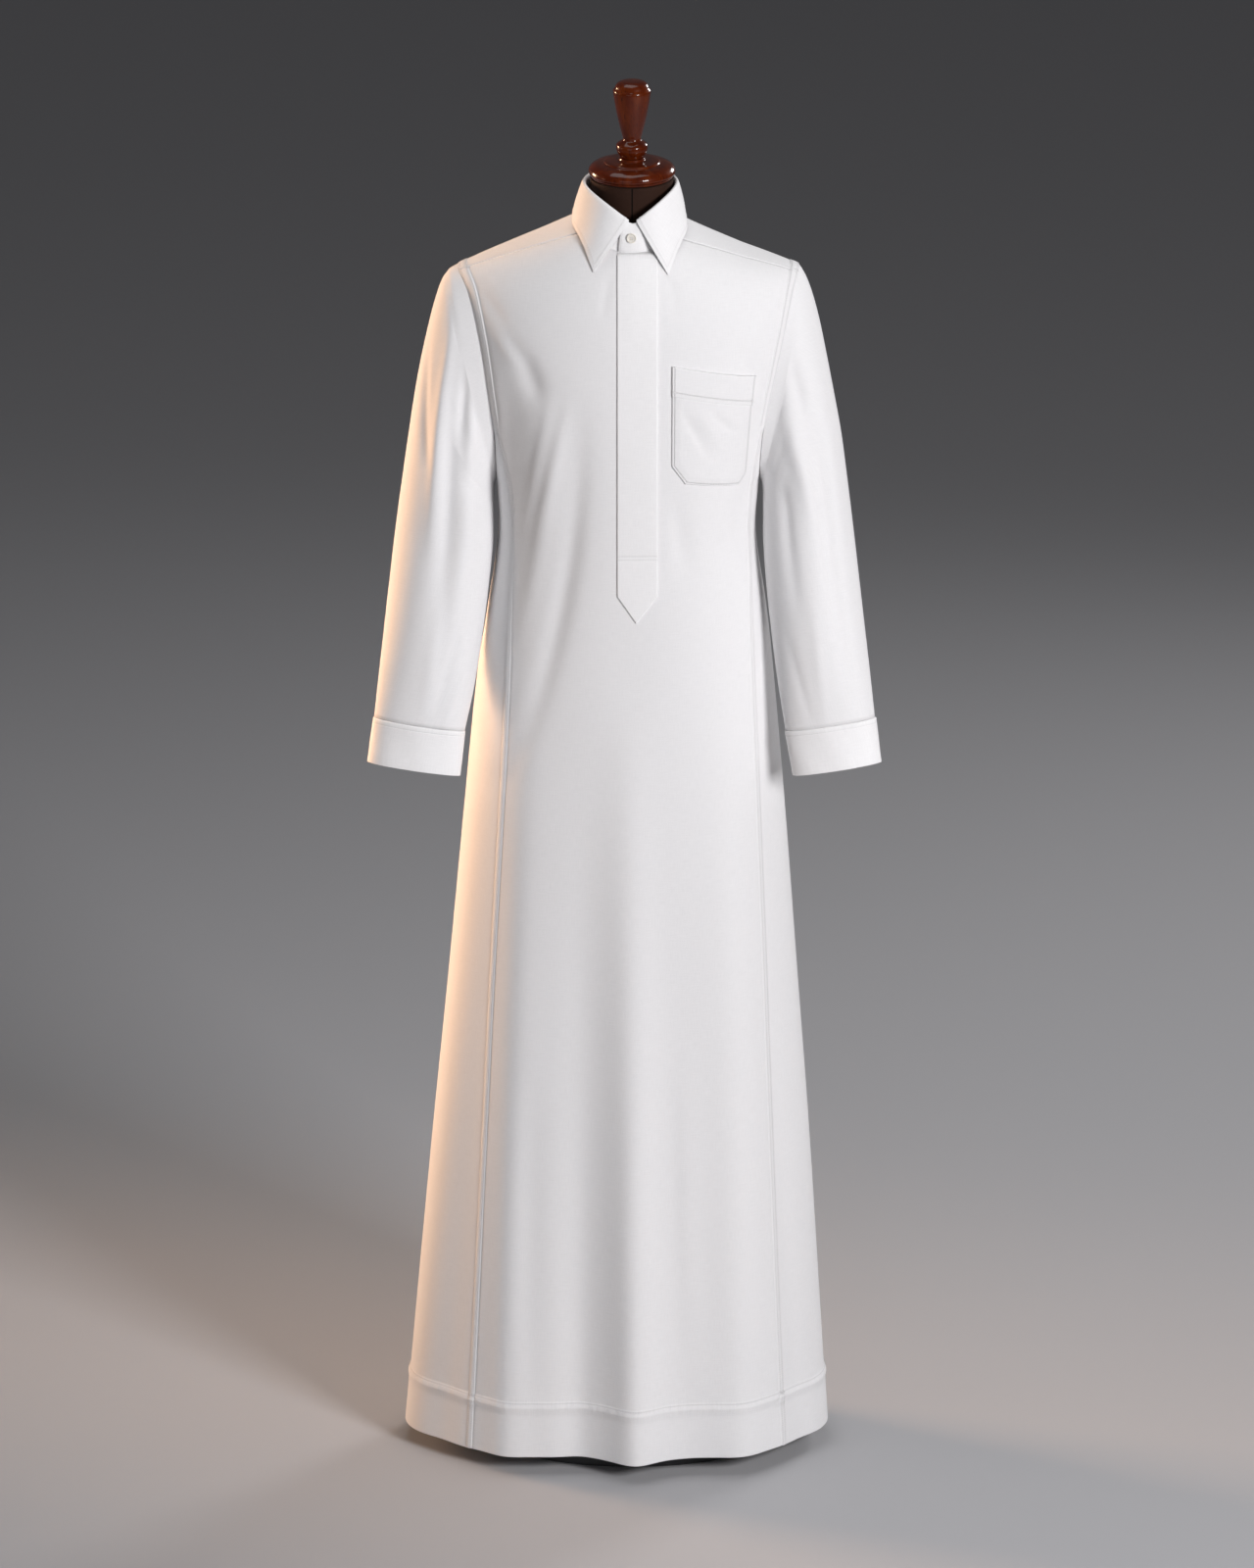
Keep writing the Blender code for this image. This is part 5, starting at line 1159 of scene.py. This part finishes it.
x, z, up, along, off = patch(POCKET_EDGES, np.concatenate(((0, 0.008, 0.022, 0.05, 0.09, 0.13, 0.17),
                                                           np.linspace(0.22, 1, 16), np.linspace(1, 3, 46)[1:])))
(x1, z1, x2, z2), (x0, z0, x3, z3) = POCKET_EDGES[:2]
corners = ((x0, z0), (x1, z1), (x2, z2), (x3, z3))
for (x0, z0), (x1, z1) in zip(corners[:-1], corners[1:]):
    off = np.minimum(off, ((x - x0) * (z0 - z1) + (z - z0) * (x1 - x0)) / math.hypot(x1 - x0, z1 - z0))
belly = (0.0011 + crease_rise(x, z, POCKET_CREASES)) * np.clip(off / 0.010, 0, 1)
cloth("pocket", on_front(x, z, lid(np.maximum(off, 0), 0.0024) + belly), (x, z), POPLIN,
      [(off - 0.0028, along + up)], pucker=0.35, wall=0.0005, inward=-1.0)

x, z, up, along, ends = patch(POCKET_BAND_EDGES, np.concatenate((
    (0, 0.02, 0.05, 0.09, 0.14, 0.20, 0.28, 0.34, 0.42), np.linspace(0.5, 1.7, 14),
    (1.78, 1.86, 1.92, 1.96, 1.98, 2.0))))
off = np.minimum(ends, np.minimum(up, up[-1:] - up))
cloth("pocket_band", on_front(x, z, lid(off, 0.0036)), (x, z), POPLIN,
      [(up - 0.0065, along), (ends - 0.0030, up)], pucker=0.25, wall=0.0005, inward=-1.0)

# -------------------- robe: collar button
# A small four-hole button of ivory resin, sewn through with white thread.
BUTTON_OUTLINE = metres(((5.1, 0), (5.8, 0.6), (5.9, 1.3), (5.7, 1.9), (5.2, 2.2), (4.6, 2.1), (4, 1.4), (3, 1.2)))


def button_resin():
    """Satin ivory with a faint cloud."""
    material, tree = new_material("button resin", (0.80, 0.77, 0.70), 0.28, Subsurface_Weight=0.15,
                                  Subsurface_Radius=(0.002, 0.0016, 0.0012))
    node(tree, "place", "TexCoord")
    node(tree, "cloud", "TexNoise", Scale=260.0, Detail=3.0)
    ramp(tree, "tone", (0.0, (0.74, 0.70, 0.62)), (1.0, (0.86, 0.83, 0.77)))
    wire(tree, "place.Object>cloud cloud>tone tone>shader.Base_Color")
    return material


def turned_to(direction):
    """The turn that brings Z to a direction."""
    return Vector(direction).to_track_quat("Z", "Y").to_euler()


low, high = (band_point(np.array(0.0), np.array(share)) for share in (0.1, 0.9))
slope = unit(high - low)
out = np.array((0, -slope[2], slope[1]))
share = np.array((1.5410 - low[2]) / (high[2] - low[2]) * 0.8 + 0.1)
seat = band_point(np.array(0.0), share) + np.array((0.0003, 0, 0)) + out * 0.0010
button = turned("button", BUTTON_OUTLINE, 64)
holes = []
for k in range(4):
    turn = math.radians(45 + 90 * k)
    bpy.ops.mesh.primitive_cylinder_add(vertices=20, radius=0.00062, depth=0.006,
                                        location=(0.0015 * math.cos(turn), 0.0015 * math.sin(turn), 0.001))
    holes.append(bpy.context.object)
for hole in holes:
    hole.select_set(True)
bpy.ops.object.join()
cutter = bpy.context.object
drill = button.modifiers.new("holes", "BOOLEAN")
drill.operation, drill.object, drill.solver = "DIFFERENCE", cutter, "EXACT"
bpy.ops.object.select_all(action="DESELECT")
button.select_set(True)
bpy.context.view_layer.objects.active = button
bpy.ops.object.modifier_apply(modifier="holes")
bpy.data.objects.remove(cutter)
button.location, button.rotation_euler = seat, turned_to(out)
lay_down("button", button_resin(), "collar_button", slot="button")
for k, tilt in ((1, -1), (2, 1)):
    bpy.ops.mesh.primitive_cylinder_add(vertices=10, radius=0.00030, depth=0.0032, location=seat + out * 0.0015)
    bpy.context.object.rotation_euler = turned_to(np.array((1.0, 0, 0)) + slope * tilt)
    lay_down("button_thread_%d" % k, CRISP, slot="poplin")

# -------------------- floor, light and camera
# A plain pale floor that runs up into nothing.  One large key from the right and
# the front, with weak fills from the front and low down; two warm rims behind
# the left sleeve and a faint warm light beside it; one light above, one behind.
floor_material, _ = new_material("pale floor", (0.46, 0.46, 0.473), 0.85)
bpy.ops.mesh.primitive_plane_add(size=60, location=(0, 0, -0.0005))
floor = bpy.context.object
floor.name = "floor"
floor.data.materials.append(floor_material)

for name, place, aim, size, spread, power, colour in (
        ("key", (2.4, -3.3, 2.4), (0, 0, 1.0), 1.1, 150, 101, (1.0, 0.985, 1.0)),
        ("front_fill", (-1.2, -4.0, 1.7), (0, 0, 0.9), 2.4, 150, 7, (0.97, 0.98, 1.0)),
        ("warm_rim_high", (-2.25, 1.12, 1.6), (-0.1, 0, 1.2), 0.7, 50, 7, (1.0, 0.62, 0.38)),
        ("warm_rim_low", (-2.25, 1.12, 0.75), (-0.1, 0, 0.45), 0.7, 50, 4.5, (1.0, 0.62, 0.38)),
        ("warm_side", (-2.9, -0.5, 1.3), (-0.25, 0, 1.02), 0.6, 28, 0.26, (1.0, 0.76, 0.60)),
        ("low_fill", (-0.5, -3.8, 0.7), (0, 0, 0.0), 0.8, 16, 0.07, (1.0, 1.0, 1.0)),
        ("top", (-0.3, 0.2, 4.0), (0, 0, 1.2), 2.0, 120, 12, (1.0, 1.0, 1.0)),
        ("back", (2.6, 3.2, 2.3), (0, 0, 0.9), 1.2, 110, 22, (1.0, 0.99, 1.0))):
    lamp = bpy.data.lights.new(name, "AREA")
    lamp.energy, lamp.size, lamp.color, lamp.spread = power, size, colour, math.radians(spread)
    light = bpy.data.objects.new(name, lamp)
    light.location = place
    light.rotation_euler = (Vector(aim) - Vector(place)).to_track_quat("-Z", "Y").to_euler()
    bpy.context.scene.collection.objects.link(light)

world = bpy.data.worlds.new("studio")
world.use_nodes = True
sky = world.node_tree.nodes["Background"].inputs
sky["Color"].default_value, sky["Strength"].default_value = (0.42, 0.42, 0.44, 1), 0.15
bpy.context.scene.world = world

bpy.context.scene.view_settings.view_transform = "Standard"
DISTANCE, ELEVATION, METRES_A_PIXEL, FRAME_PIXELS, SENSOR_MM = 16.0, math.radians(19.5), 0.00117, 1600, 36
lens = bpy.data.cameras.new("camera")
lens.sensor_fit, lens.sensor_width, lens.clip_end = "AUTO", SENSOR_MM, 100
lens.lens = SENSOR_MM * DISTANCE / (FRAME_PIXELS * METRES_A_PIXEL)
camera = bpy.data.objects.new("camera", lens)
backward = Vector((0, -math.cos(ELEVATION), math.sin(ELEVATION)))
camera.location = Vector((-0.00585, 0, 0.8372857)) + backward * DISTANCE
camera.rotation_euler = turned_to(backward)
bpy.context.scene.collection.objects.link(camera)
bpy.context.scene.camera = camera
